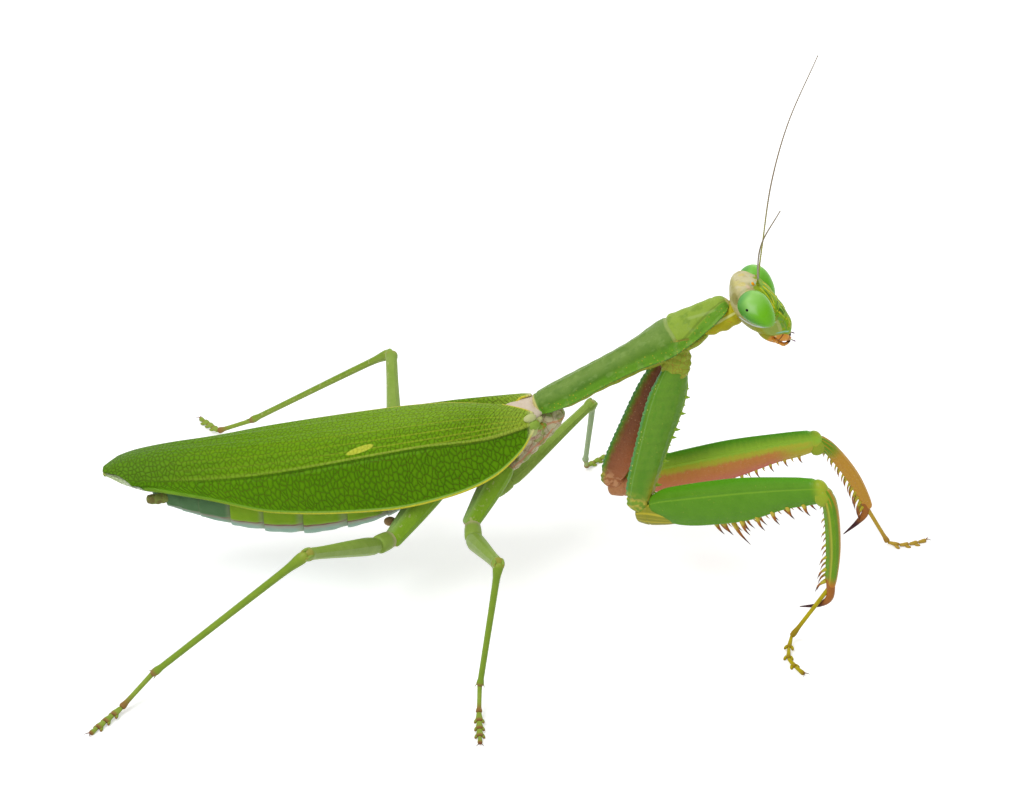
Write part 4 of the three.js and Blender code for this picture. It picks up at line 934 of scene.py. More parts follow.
def tegmen_finish(name, right):
    """Leaf green with olive veins. The net is the edges of flat cells: in the costal field they are
    stretched across it, in the upper field they lie between the long veins."""
    leaf = cuticle(name)
    u, v = leaf.uv()
    q, t, edge, inner = map(leaf.mark, ("q", "t", "edge", "inner"))
    cloud = leaf.noise(0.35, 3)
    wander = leaf.noise(1.4, 2) - 0.5
    over = q.step(0.08, 0.3) * 0.8
    lower = (v - over).step(-0.25, -0.4)
    mesh_low = leaf.edges(1.45, leaf.vector(u * 1.3 + v * 0.25 + wander * 0.5, v * 0.75 + wander * 0.4))
    mesh_high = leaf.edges(1.35, leaf.vector(u * 1.45 + wander * 0.3, v * 1.15))
    net_low = mesh_low.step(0.055, 0.015) * lower
    net_high = mesh_high.step(0.06, 0.015) * (1 - lower)
    net = (net_low + net_high * 0.85) * edge.step(0.45, 0.8)
    cell = (mesh_low * lower + mesh_high * (1 - lower)).least(0.35)
    leaf.ground(cloud, (90, 138, 2), (110, 154, 8))
    # Paler green in the front half of the upper field towards the inner edge: a painted sheen of the light from
    # above.
    leaf.paint(v.step(1.5, 6.0) * q.step(0.7, 0.2) * 0.7, (134, 172, 40))
    leaf.paint(q.step(0.6, 0.98) * 0.8, (80, 124, 26))
    # Darker green over the costal field, where it hangs down the flank: painted shade.
    leaf.paint(lower * 0.85, leaf.mix(cloud, (66, 122, 0), (90, 140, 4)))
    leaf.paint(cell.step(0.1, 0.34) * 0.2, (128, 180, 10))
    leaf.paint(net * 0.75, leaf.mix(q.step(0.2, 0.6), (92, 84, 16), (102, 108, 22)))
    leaf.paint(q.step(0.14, 0.02) * (1 - lower) * 0.6, (164, 190, 66))
    ribs = 0.0  # pale lines, each at one share of the field all along the wing
    for start, end in LONG_VEINS:
        run = start - 0.661 * (end - start)
        where = abs((t - COSTAL) / (1 - COSTAL) - run) * (edge + inner)
        ribs = where.step(0.2, 0.06) + ribs
    ribs = ribs.least(1.0) * (q.step(0.6, 0.25) * 0.75 + 0.25) * q.step(0.95, 0.7) * (1 - lower)
    rungs = (u * 1.9 + v * 1.3).fraction().band(0.5, 0.07, 0.09) * q.step(0.32, 0.12) * (1 - lower)
    leaf.paint(rungs * 0.6, (84, 96, 20))
    leaf.paint(ribs * 0.6, (154, 172, 44))
    # A dark line along the fold under the main vein: painted shade in the crease.
    leaf.paint((v - over).band(-0.3, 0.08, 0.12) * q.step(0.9, 0.6) * 0.7, (62, 98, 8))
    main = (v - over).band(0.0, 0.07, 0.1) * (q.step(0.75, 0.3) * 0.6 + 0.4) * q.step(0.95, 0.75)
    leaf.paint(main * 0.65, (158, 180, 66))
    strip = q.step(0.85, 0.35)
    leaf.paint(edge.step(0.5, 0.4), leaf.mix(strip, (112, 160, 40), (140, 178, 72)))
    leaf.paint((edge + inner).step(1.6, 0.8) * q.step(0.93, 0.97), (120, 104, 44))
    yellow = leaf.mix(strip, (120, 160, 44), (222, 214, 60))
    leaf.paint(edge.step(0.3, 0.2), yellow)
    leaf.paint(inner.step(0.34, 0.2) * q.step(0.6, 0.25), (216, 206, 70))
    leaf.paint(inner.step(0.2, 0.1) * q.step(0.5, 0.8), (120, 130, 50))
    leaf.paint(q.step(0.02, 0.0), (206, 206, 140))
    if right:
        along, across = u - STIGMA[0] - (v - STIGMA[1]) * 0.18, v - STIGMA[1] + (u - STIGMA[0]) * 0.18
        inside = (abs(along / 1.75) ** 2.0 + abs(across / 0.42) ** 2.0).step(1.15, 0.75)
        leaf.paint(inside, leaf.mix(leaf.noise(3.0, 2), (186, 194, 40), (206, 214, 84)))
    height = cell * 2.0 - net * 0.6 + leaf.noise(3.0, 2) * 0.3
    return leaf.wear(height, 0.08, 0.38 + 0.16 * cloud)


for label, side in (("right", -1), ("left", 1)):
    piece("tegmen_" + label, [sheet(fore_wing, side, 350, 140, 0.24, vein_height)],
          tegmen_finish("tegmen_green_" + label, side < 0), "tegmen", "forewing_" + label)

# ------------------------ hind wings
# Thin clear membranes folded like fans under the fore wings; only their pale netted tips show.

FAN_HINGE, FAN_LENGTH, FAN_INNER = -8.5, 42.7, 0.3
FAN_OUT = [[0, 1.8], [0.2, 4], [0.5, 4.2], [0.7, 3.8], [0.86, 3.1], [0.94, 2.1], [0.98, 1.2], [1, 0.5]]
FAN_UNDER = [[0, 2], [0.75, 2], [0.9, 1.25], [0.96, 0.8], [1, 0.35]]
FAN_BEND = [[0, 0.6], [0.7, 0.7], [0.86, 0.8], [1, 1]]
FAN_TIP = [[0, 0], [0.8, 0], [0.92, 0.0], [1, 0.2]]


def hind_wing(q, t, side):
    """y runs from near the middle to the fan's outer edge, z = ridge - min(bend drop (y / vein)^3, 2.6)
    - under, with narrow pleats 0.05 sin(40 t) that run the whole length."""
    x = FAN_HINGE - q * FAN_LENGTH
    share = np.minimum((WING_HINGE - x) / WING_LENGTH, 1)
    y = FAN_INNER + t * (blend(FAN_OUT, q) - FAN_INNER)
    bend = np.minimum(blend(FAN_BEND, q) * blend(DROP, share) * (y / blend(VEIN, share)) ** 3, 2.6)
    return np.stack([x, side * y, blend(RIDGE, share) - bend - blend(FAN_UNDER, q) - t * blend(FAN_TIP, q)
                     + 0.05 * np.sin(40 * t)], -1)


fan = Finish("hind_wing_membrane", roughness=0.4, specular_ior_level=0.15)
u, v = fan.uv()
q = fan.mark("q")
net = fan.edges(1.6, fan.vector(u * 0.9, v * 2.0)).step(0.12, 0.03)
fan.ground(fan.noise(0.8, 3), (212, 224, 196), (232, 236, 222))
fan.paint(q.step(0.9, 0.97) * 0.6, (170, 194, 110))
fan.paint(net * 0.6, (150, 170, 104))
fan.paint(q.step(0.985, 0.995), (176, 188, 96))
fan_finish = fan.wear(net + fan.noise(2.0, 2) * 0.5, 0.03, 0.3 + 0.2 * net)
for label, side in (("right", -1), ("left", 1)):
    piece("hind_wing_%s_fan" % label, [sheet(hind_wing, side, 150, 44, 0.1)], fan_finish,
          "hindwing", "hindwing_" + label)

# ------------------------ wing hinges
# Small hard plates in pale folded membrane that carry each fore wing on the middle thorax.


def lobe(centre, radii, yaw, pitch, shade, detail=30):
    """An ellipsoid, turned by yaw about Z and pitch about Y, with 'tip' as the mark for its colour."""
    ball = globe(detail, detail)[..., [1, 0, 2]] * radii
    cy, sy, cp, sp = (turn(math.radians(angle)) for angle in (yaw, pitch) for turn in (math.cos, math.sin))
    spun = np.array([[cy, -sy, 0], [sy, cy, 0], [0, 0, 1]]) @ np.array([[cp, 0, -sp], [0, 1, 0], [sp, 0, cp]])
    marks = {"tip": np.full((detail, detail), shade)}
    return ball @ spun.T + np.array(centre), np.zeros((detail, detail + 1, 2)), marks


hinge = cuticle("hinge_plates", 0.4, 0.2)
shade = hinge.mark("tip")
hinge.ground(hinge.noise(1.4, 3), (206, 204, 152), (184, 196, 120))
hinge.paint(shade.step(0.3, 0.6), (144, 176, 66))
hinge.paint(hinge.noise(1.1, 1).step(0.6, 0.66), (176, 140, 60))
hinge.paint(shade.step(-0.3, -0.6), hinge.mix(hinge.noise(1.6, 2), (226, 212, 196), (206, 186, 160)))
hinge_finish = hinge.wear(hinge.noise(3.0, 3), 0.06, 0.42)
for label, side in (("right", -1), ("left", 1)):
    lobes = [lobe((-0.6, side * 0.9, 23.9), (2.4, 2.0, 0.75), 0, 8, -1.0),
             lobe((0.4, side * 2.3, 23.3), (1.3, 0.75, 0.5), side * -20, 22, 0.0),
             lobe((1.3, side * 2.2, 22.7), (0.9, 0.55, 0.45), side * -35, -10, 1.0),
             lobe((0.0, side * 3.0, 22.4), (1.1, 0.5, 0.6), side * 15, 30, 0.0),
             lobe((-0.6, side * 2.9, 23.6), (1.0, 0.5, 0.35), side * 10, 12, 1.0)]
    if side < 0:  # the plates that show in front of the upper wing
        lobes += [lobe((0.0, -3.1, 24.3), (0.8, 0.45, 0.5), 8, 14, 0.0),
                  lobe((0.5, -3.2, 23.4), (0.75, 0.45, 0.7), 20, 20, 1.0),
                  lobe((0.2, -3.3, 22.5), (0.7, 0.4, 0.6), -10, 10, 0.0)]
    piece("hinge_plates_" + label, lobes, hinge_finish, "thorax")

# ------------------------ legs: joints and pose
# Six legs of coxa, trochanter, femur, tibia and tarsus. The joints' places follow from the lengths
# of the segments and two angles for each; the feet's ends lie on the floor.

LEGS = {  # joint with the body on the left side, then lengths of coxa, trochanter, femur and tibia
    "fore": ([17, 1.7, 29.6], 19, 3.4, 22.5, 12.9),
    "mid": ([-2.7, 2.8, 17.1], 7.6, 2, 15.9, 14.9),
    "hind": ([-11, 3, 15.8], 8.7, 2.2, 20.2, 25),
}
POSE = {  # azimuth and elevation of coxa, femur and tibia; how much the femur sags
    "fore_right": ((-172, -80), (-33, 22), (-51, -82.5), 0), "fore_left": ((168, -71), (5, 8.2), (9, -57), 0),
    "mid_right": ((-148, -47), (-82, 16), (-121, -72), 1.6), "mid_left": ((133, -80), (42, 20), (91, -60), -0.3),
    "hind_right": ((-148, -41), (-119, 25), (176, -42), 1.2),
    "hind_left": ((150, -54), (92, 22.8), (157, -34.4), 0.6),
}
FEET = {  # azimuth, end height and length of the first segment of each foot and of the parts after it
    "fore_right": [(175.4, 0.9, 8.15), (-104, 0.35, 3.7), (-74, 0.24, 1.3), (-61.6, 0.22, 2.4)],
    "fore_left": [(-42.1, 0.6, 4.92), (-9, 0.3, 1.5), (13, 0.24, 2), (20.8, 0.22, 1.8)],
    "mid_right": [(-94, 0.9, 3.5), (-91, 0.22, 5.1)], "mid_left": [(81, 0.5, 3.5), (45, 0.22, 5.1)],
    "hind_right": [(-135, 0.7, 5.3), (-128, 0.22, 5.4)], "hind_left": [(158, 0.9, 5.3), (120, 0.22, 5.4)],
}
CLAWS = {"right": [(1.3, 0.3), (2.5, 1.7), (3.3, 4.3)], "left": [(0.3, 0.9), (0.9, 2.3), (1.4, 4.7)]}


class Leg:
    """The joints of one leg: each is the one before it plus the segment's length along its heading.
    A part of the foot of length l that ends at height h has the elevation asin((h - z) / l)."""

    def __init__(self, pair, label):
        self.name, self.side = pair + "_" + label, -1 if label == "right" else 1
        root, coxa, trochanter, femur, tibia = LEGS[pair]
        *angles, self.sag = POSE[self.name]
        self.coxa, self.femur, self.tibia = (heading(*pair_of) for pair_of in angles)
        self.lengths = {"coxa": coxa, "femur": femur, "tibia": tibia}
        self.root = np.array([root[0], self.side * root[1], root[2]])
        self.hip = self.root + coxa * self.coxa
        self.thigh = self.hip + trochanter * self.femur
        self.knee = self.thigh + femur * self.femur
        self.ankle = self.knee + tibia * self.tibia
        self.foot = [self.ankle]
        for azimuth, height, length in FEET[self.name]:
            start = self.foot[-1]
            slope = math.degrees(math.asin((height - start[2]) / length))
            self.foot.append(start + length * heading(azimuth, slope))
        self.ventral = square(self.tibia, self.femur)
        self.back = -self.ventral


def marked(surface, **marks):
    """The same surface with more marks, each a value for every point."""
    return surface[0], surface[1], {**surface[2], **marks}


def limb(path, up, rows, side, *shape, **more):
    """A loft with the mark 'inside': side-wise, -1 on its outer face and 1 on the one to the other leg."""
    surface = loft(path, up, rows, *shape, **more)
    turn = surface[1][:1, :-1, 1] * 2 * np.pi
    return marked(surface, inside=-side * np.sin(turn))


def spike(root, direction, bend, length, radius, dark=1.0):
    """A curved thorn of length l: a loft from r - 0.25 d, inside its root r, by r + l d / 2 to
    r + l unit(d + bend), nearly a cone; 'tip' is the share along it plus 0.02, times dark."""
    rows = [[0, 1.0], [0.1, 0.95], [0.5, 0.52], [0.85, 0.18], [1, 0.06]]
    path = [root - 0.25 * direction, root + 0.5 * length * direction, root + length * (unit(direction + bend))]
    surface = loft(path, square(FORWARD + 0.3 * UP, unit(direction)), even(rows, 1.0, radius), 12, 8, 0.05)
    return marked(surface, tip=(surface[1][:, :1, 0] + 0.02) * dark)


# ------------------------ fore legs
# The raptorial legs: a long coxa with a toothed front edge, a deep femur with rows of dark-tipped
# thorns under it, and a tibia with a comb and a hooked claw that shuts on them. Green outside; the
# faces turned to each other are russet.


def raptor_finish(name, green_low, green_high, russet_low, russet_high, ridge, crease, thorn, pattern):
    """Green outside and russet inside, yellow towards the joints, thorns that darken to their tips."""
    claw = cuticle(name, 0.36, 0.22)
    t, around = claw.uv()
    inside, tip = map(claw.mark, ("inside", "tip"))
    depth = abs(around - 0.5) * 2  # 1 on the upper side, 0 underneath
    cloud = claw.noise(0.7, 3)
    speck = claw.cells(2.4)
    claw.ground(cloud, green_low, green_high)
    claw.paint(speck.step(0.12, 0.07) * claw.noise(0.4, 1).step(0.45, 0.6) * 0.7, (200, 186, 84))
    brown = claw.mix(claw.noise(1.0, 3, claw.vector(t * 60.0, around * 12.0)), russet_low, russet_high)
    brown = claw.mix(speck.step(0.2, 0.1) * 0.4, brown, (226, 190, 150))
    inner, brown = pattern(claw, t, around, depth, inside, brown)
    claw.paint(depth.band(ridge, 0.006, 0.016) * inside.step(0.3, -0.3) * 0.45, crease)
    claw.paint(inner, brown)
    thorny = claw.mix(tip.step(0.25, 0.45), thorn, (168, 104, 42))
    claw.paint(tip.step(0.005, 0.02), claw.mix(tip.step(0.5, 0.85), thorny, (66, 32, 38)))
    return claw.wear(claw.noise(2.4, 3) + claw.cells(5.5) * 0.5, 0.06, 0.38 + 0.12 * cloud)


def coxa_pattern(claw, t, around, depth, inside, brown):
    """Teal rear edge with pale beads, amber lower front corner; inside russet with a green rear edge."""
    claw.paint(claw.noise(1.0, 2, claw.vector(t * 9.0, around * 14.0)).step(0.5, 0.62) * 0.4, (84, 142, 30))
    claw.paint(depth.step(0.13, 0.05) * inside.step(0.4, 0.0), (92, 156, 88))
    beads = claw.cells(2.0).step(0.22, 0.14) * depth.band(0.12, 0.05, 0.03)
    claw.paint(beads, (196, 198, 104))
    claw.paint(depth.step(0.9, 0.98) * 0.6, (158, 188, 44))
    amber = depth.step(0.4, 0.8) * t.step(0.64, 0.84)
    claw.paint(amber * 0.85, (198, 168, 56))
    mottled = claw.mix(claw.noise(1.6, 3).step(0.42, 0.58), (126, 160, 50), (196, 184, 76))
    claw.paint(t.step(0.84, 0.93), mottled)
    soft = depth + claw.noise(1.2, 2) * 0.16
    inner = inside.step(-0.05, 0.3) * soft.step(0.14, 0.34) * t.step(0.0, 0.06)
    brown = claw.mix(t.step(0.45, 0.8) * depth.step(0.1, 0.6), brown, (186, 116, 76))
    rough = claw.mix(claw.noise(1.8, 3).step(0.44, 0.56), (176, 112, 70), (210, 154, 110))
    brown = claw.mix(t.step(0.84, 0.92), brown, rough)
    return inner, brown


def femur_pattern(claw, t, around, depth, inside, brown):
    """Brighter along the top, pale lower edge; the inner face goes through yellow to russet and rose."""
    claw.paint(depth.step(0.72, 0.95) * 0.7, (80, 156, 18))
    claw.paint(depth.step(0.1, 0.03) * 0.8, (196, 214, 150))
    claw.paint(t.step(0.92, 0.99), (166, 180, 46))
    turned = inside.step(-0.1, 0.15)
    soft = depth + claw.noise(1.0, 2, claw.vector(t * 70.0, around * 6.0)) * 0.1 - 0.05
    claw.paint(turned * soft.step(0.98, 0.62), (158, 202, 58))
    claw.paint(turned * soft.band(0.585, 0.02, 0.07) * t.step(0.98, 0.9) * 0.8, (190, 186, 56))
    claw.paint(turned * soft.step(0.6, 0.4) * t.step(0.62, 0.8), (190, 178, 52))
    brown = claw.mix(soft.step(0.5, 0.12), brown, (206, 112, 96))
    return turned * soft.step(0.59, 0.5) * t.step(0.88, 0.72), brown


def tibia_pattern(claw, t, around, depth, inside, brown):
    """Green with a pale stripe down the middle, orange on the inner face and towards the claw."""
    claw.paint(depth.band(0.5, 0.025, 0.05) * inside.step(0.0, -0.4) * 0.7, (178, 180, 70))
    claw.paint(depth.band(0.57, 0.01, 0.02) * inside.step(0.0, -0.4) * 0.6, (150, 120, 44))
    claw.paint(t.step(0.84, 0.97), (196, 124, 40))
    claw.paint(depth.step(0.14, 0.04) * 0.7, (200, 142, 50))
    claw.paint(t.step(0.2, 0.1) * (depth * 5.0).fraction().band(0.5, 0.08, 0.12) * 0.7, (200, 150, 40))
    inner = inside.step(-0.1, 0.3) * t.step(0.12, 0.3)
    return inner * 0.9, brown


def trochanter_pattern(claw, t, around, depth, inside, brown):
    """Golden lines along it."""
    claw.paint((depth * 4.0).fraction().band(0.5, 0.06, 0.1) * 0.7, (206, 190, 60))
    return inside.step(-0.1, 0.3), brown


coxa_finish = raptor_finish("fore_coxa", (94, 142, 34), (112, 158, 46), (122, 70, 42), (158, 100, 66),
                            0.2, (134, 180, 96), (150, 186, 40), coxa_pattern)
trochanter_finish = raptor_finish("fore_trochanter", (132, 138, 34), (166, 158, 60), (178, 116, 72),
                                  (206, 150, 104), 0.5, (190, 180, 70), (190, 180, 60), trochanter_pattern)
femur_finish = raptor_finish("fore_femur", (84, 140, 22), (102, 156, 36), (196, 124, 58), (212, 146, 78),
                             0.64, (140, 186, 50), (198, 178, 66), femur_pattern)
tibia_finish = raptor_finish("fore_tibia", (96, 146, 20), (120, 162, 30), (202, 138, 48),
                             (220, 166, 64), 0.5, (196, 190, 50), (186, 176, 50), tibia_pattern)


def ridged(height, *at):
    """Relief with long ridges at the given angles from the upper side, gone at both ends."""
    return lambda t, a, d: (height * sum(bell(np.abs(a), k, 0.09) for k in at) * rise(t, 0.03, 0.12)
                            * (1 - rise(t, 0.88, 0.97)))


def coxa_relief(t, a, d):
    """A sharp front edge, a beaded rear ridge, long low ridges, and a waist before the end."""
    front = 0.2 * bell(a, 0, 0.14) * rise(t, 0.05, 0.15) * (1 - rise(t, 0.85, 0.95))
    rear = (0.1 + 0.05 * np.sin(9 * d)) * bell(np.abs(a), np.pi, 0.18) * rise(t, 0.1, 0.2)
    low = 0.05 * (bell(np.abs(a), 1.0, 0.12) + bell(np.abs(a), 2.3, 0.12))
    low = low * rise(t, 0.1, 0.2) * (1 - rise(t, 0.8, 0.9))
    return front + rear + low - 0.12 * bell(t, 0.91, 0.012) + 0.02 * np.sin(5 * d + 3 * a)


def femur_relief(t, a, d):
    """Ridges at the upper third and near the lower edge, and a groove between the rows of thorns."""
    lines = 0.12 * bell(np.abs(a), 0.95, 0.08) + 0.1 * bell(np.abs(a), 2.6, 0.1) + 0.1 * bell(a, 0, 0.12)
    return (lines - 0.15 * bell(np.abs(a), np.pi, 0.2)) * rise(t, 0.05, 0.15) * (1 - rise(t, 0.86, 0.94)) \
        - 0.12 * bell(t, 0.945, 0.01)


for label in ("right", "left"):
    leg = Leg("fore", label)
    side = leg.side
    front = square(FORWARD, leg.coxa)
    closing = square(-leg.femur, leg.tibia)
    aside = unit(np.cross(leg.femur, leg.back))
    outward = aside if aside[1] * side > 0 else -aside

    flank = limb([leg.root - 3.4 * leg.coxa + 0.5 * front, leg.root + 0.9 * leg.coxa + 0.3 * front], front, [
        [0, 0.6, 0.8, 0.9], [0.4, 1.05, 1.5, 1.7], [0.8, 1.15, 1.65, 1.7], [1, 0.8, 1.1, 1.0]], side, 90, 70, 0.4,
        relief=lambda t, a, d: 0.06 * np.sin(6 * a + 2 * d) + 0.07 * np.sin(7 * d))
    piece("fore_hip_" + label, [flank], pale_finish, "shield")

    upper, lower = 0.9, 0.7 if side < 0 else 1.1  # how far the coxa's skin runs on past its two joints
    COXA_FRONT = [[0, 1.2, 0.8], [0.06, 1.9, 1.3], [0.25, 2.15, 2.1], [0.55, 1.45, 2.35],
                  [0.85, 0.95, 2.3], [1, 0.7, 1.5]]
    coxa = limb([leg.root - upper * leg.coxa, leg.hip + lower * leg.coxa], front, [
        [t, w, *pair] for (t, *pair), w in zip(COXA_FRONT, (0.8, 1.2, 1.4, 1.35, 1.15, 0.85))], side, 240, 110, 0.8,
        relief=coxa_relief)
    teeth = []
    for i, size in enumerate((0.5, 1.0, 0.45, 1.0, 0.4, 1.05, 0.9, 0.4, 0.45, 1.05, 0.45, 0.5, 0.95, 0.5)):
        s = 2.2 + 1.12 * i
        proud = blend([row[:2] for row in COXA_FRONT], (s + upper) / (leg.lengths["coxa"] + upper + lower)) + 0.12
        root = leg.root + s * leg.coxa + proud * front
        teeth.append(spike(root, unit(front + 0.1 * leg.coxa), -0.25 * leg.coxa, (0.58 + 0.015 * i) * size,
                           0.36 * size**0.5, 0.3))
    piece("raptor_coxa_" + label, [coxa, *teeth], coxa_finish, "raptorial", "coxa_fore_" + label)

    trochanter = limb([leg.hip - 1.1 * leg.femur + 0.9 * leg.ventral, leg.hip + 1.6 * leg.femur + 1.2 * leg.ventral,
                       leg.thigh + 1.9 * leg.femur + 2.2 * leg.ventral],
                      leg.back, [[0, 0.7, 1.0, 0.9], [0.3, 1.1, 1.5, 1.3], [0.65, 1.0, 1.2, 1.0],
                                 [1, 0.35, 0.4, 0.3]],
                      side, 90, 80, 0.5,
                      relief=lambda t, a, d: -0.08 * bell(t, 0.3, 0.02) + 0.06 * bell(np.abs(a), 1.2, 0.1))
    piece("raptor_trochanter_" + label, [trochanter], trochanter_finish, "raptorial", "trochanter_fore_" + label)

    femur = limb([leg.thigh - 2.2 * leg.femur, leg.knee + 0.2 * leg.femur], leg.back, [
        [0, 0.7, 0.9, 0.6], [0.04, 1, 1.5, 1.3], [0.1, 1.2, 2, 2.3], [0.18, 1.3, 2.2, 2.9], [0.32, 1.4, 2.4, 3.1],
        [0.54, 1.35, 2.5, 2.9], [0.77, 1.1, 2.1, 1.8], [0.94, 1, 1.6, 1.5], [1, 0.75, 1.1, 1.1]],
        side, 260, 120, 0.7, relief=femur_relief)
    FEMUR_DROP = [[0, 1.2], [0.08, 2.2], [0.25, 3.1], [0.5, 2.9], [0.75, 1.8], [0.93, 1.5], [1, 0.9]]
    thorns, reach = [], 1.0 if side < 0 else 0.8
    under = lambda d: leg.thigh + d * leg.femur + (blend(FEMUR_DROP, d / leg.lengths["femur"]) - 0.2) * leg.ventral
    for i in range(15):  # the inner row: long and short in turn
        long_one = i % 2 == 0
        d = 6.6 + 0.92 * i
        root = under(d) - 0.55 * outward
        thorns.append(spike(root, unit(leg.ventral + 0.15 * leg.femur - 0.2 * outward), 0.2 * leg.femur,
                            (1.9 if long_one else 1.1) * (1 - 0.02 * i) * reach, 0.27 if long_one else 0.2,
                            1.0 if long_one else 0.5))
    for d, length in ((6.3, 1.7), (7.4, 1.9), (8.7, 3.5), (10.0, 1.7)):  # the middle row, with the longest
        thorns.append(spike(under(d), unit(leg.ventral + 0.3 * leg.femur), 0.15 * leg.femur, length * reach, 0.34))
    for i in range(5):  # the outer row
        d = 10.3 + 2.25 * i
        thorns.append(spike(under(d) + 0.55 * outward, unit(leg.ventral + 0.2 * leg.femur + 0.2 * outward),
                            0.25 * leg.femur, (1.9 - 0.12 * i) * reach, 0.32))
    for sign in (-1, 1):  # two yellowish lobes that hold the knee
        thorns.append(limb([leg.knee - 1.6 * leg.femur + sign * 0.55 * outward + 0.5 * leg.ventral,
                            leg.knee + 0.35 * leg.femur + sign * 0.62 * outward + 0.6 * leg.ventral], leg.back,
                           [[0, 0.3, 0.8, 0.9], [0.5, 0.36, 0.9, 1.25], [1, 0.2, 0.5, 0.9]], side, 40, 30, 0.5))
        thorns[-1][2]["inside"] = thorns[-1][2]["inside"] * 0 - 1
        thorns[-1][1][..., 0] = 0.97
    piece("raptor_femur_" + label, [femur, *thorns], femur_finish, "raptorial", "femur_fore_" + label)

    shin = [leg.knee - 0.3 * leg.femur + 0.2 * leg.back, leg.knee + 1.6 * leg.tibia + 0.4 * leg.femur,
            leg.knee + 0.55 * leg.lengths["tibia"] * leg.tibia - 0.7 * closing, leg.ankle]
    tibia = limb(shin, closing, [[0, 0.7, 0.7, 0.6], [0.15, 0.8, 0.9, 0.7], [0.55, 0.75, 1, 0.7],
                                 [0.88, 0.6, 0.8, 0.6], [1, 0.45, 0.5, 0.4]],
                 -side, 180, 80, 0.5, relief=ridged(0.09, 0.5, 1.35, 2.3))
    comb = []
    line, along, _ = curve(shin, np.linspace(0.16, 0.93, 13))
    for i in range(13):
        for sign in (-1, 1):
            if sign > 0 and i % 2:
                continue
            root = line[i] + 0.8 * closing + sign * 0.25 * outward
            comb.append(spike(root, unit(closing + 0.8 * leg.tibia), 0.35 * leg.tibia,
                              0.85 + 0.11 * i, 0.19 + 0.005 * i, 0.5 + 0.04 * i))
    hook = limb([leg.ankle - 1.4 * leg.tibia,
                 *(leg.ankle + a * leg.tibia + b * closing for a, b in CLAWS[label])], closing,
                even([[0, 0.55], [0.3, 0.48], [0.65, 0.28], [1, 0.05]]), side, 80, 30, 0.1)
    hook = marked(hook, tip=0.45 + 0.6 * rise(hook[1][:, :1, 0], 0.25, 0.9))
    piece("raptor_tibia_" + label, [tibia, *comb, hook], tibia_finish, "raptorial", "tibia_fore_" + label)

# ------------------------ walking legs
# Four plain legs: a stout coxa, a short trochanter, a femur with fine ridges and two lobes at the
# knee, a thin tibia with a pair of spurs. Olive green, brownish at the joints.


def leg_finish(name, low, high, under, joint=(166, 116, 84), start=(190, 170, 130), reach=0.05):
    """Green with cloudy variation, paler underneath, russet-brown at both ends of each segment."""
    leaf = cuticle(name, 0.38, 0.2)
    t, around = leaf.uv()
    depth = abs(around - 0.5) * 2
    cloud = leaf.noise(0.8, 3)
    leaf.ground(cloud, low, high)
    leaf.paint(depth.step(0.45, 0.2) * 0.6, under)
    leaf.paint(leaf.noise(2.2, 3).step(0.58, 0.7) * depth.step(0.75, 0.4) * 0.6, (190, 190, 130))
    leaf.paint(t.step(0.955, 0.985) * 0.8, joint)
    leaf.paint(t.step(reach, reach * 0.3) * 0.8, start)
    return leaf.wear(leaf.noise(2.6, 3) + leaf.cells(6.0) * 0.4, 0.05, 0.36 + 0.12 * cloud)


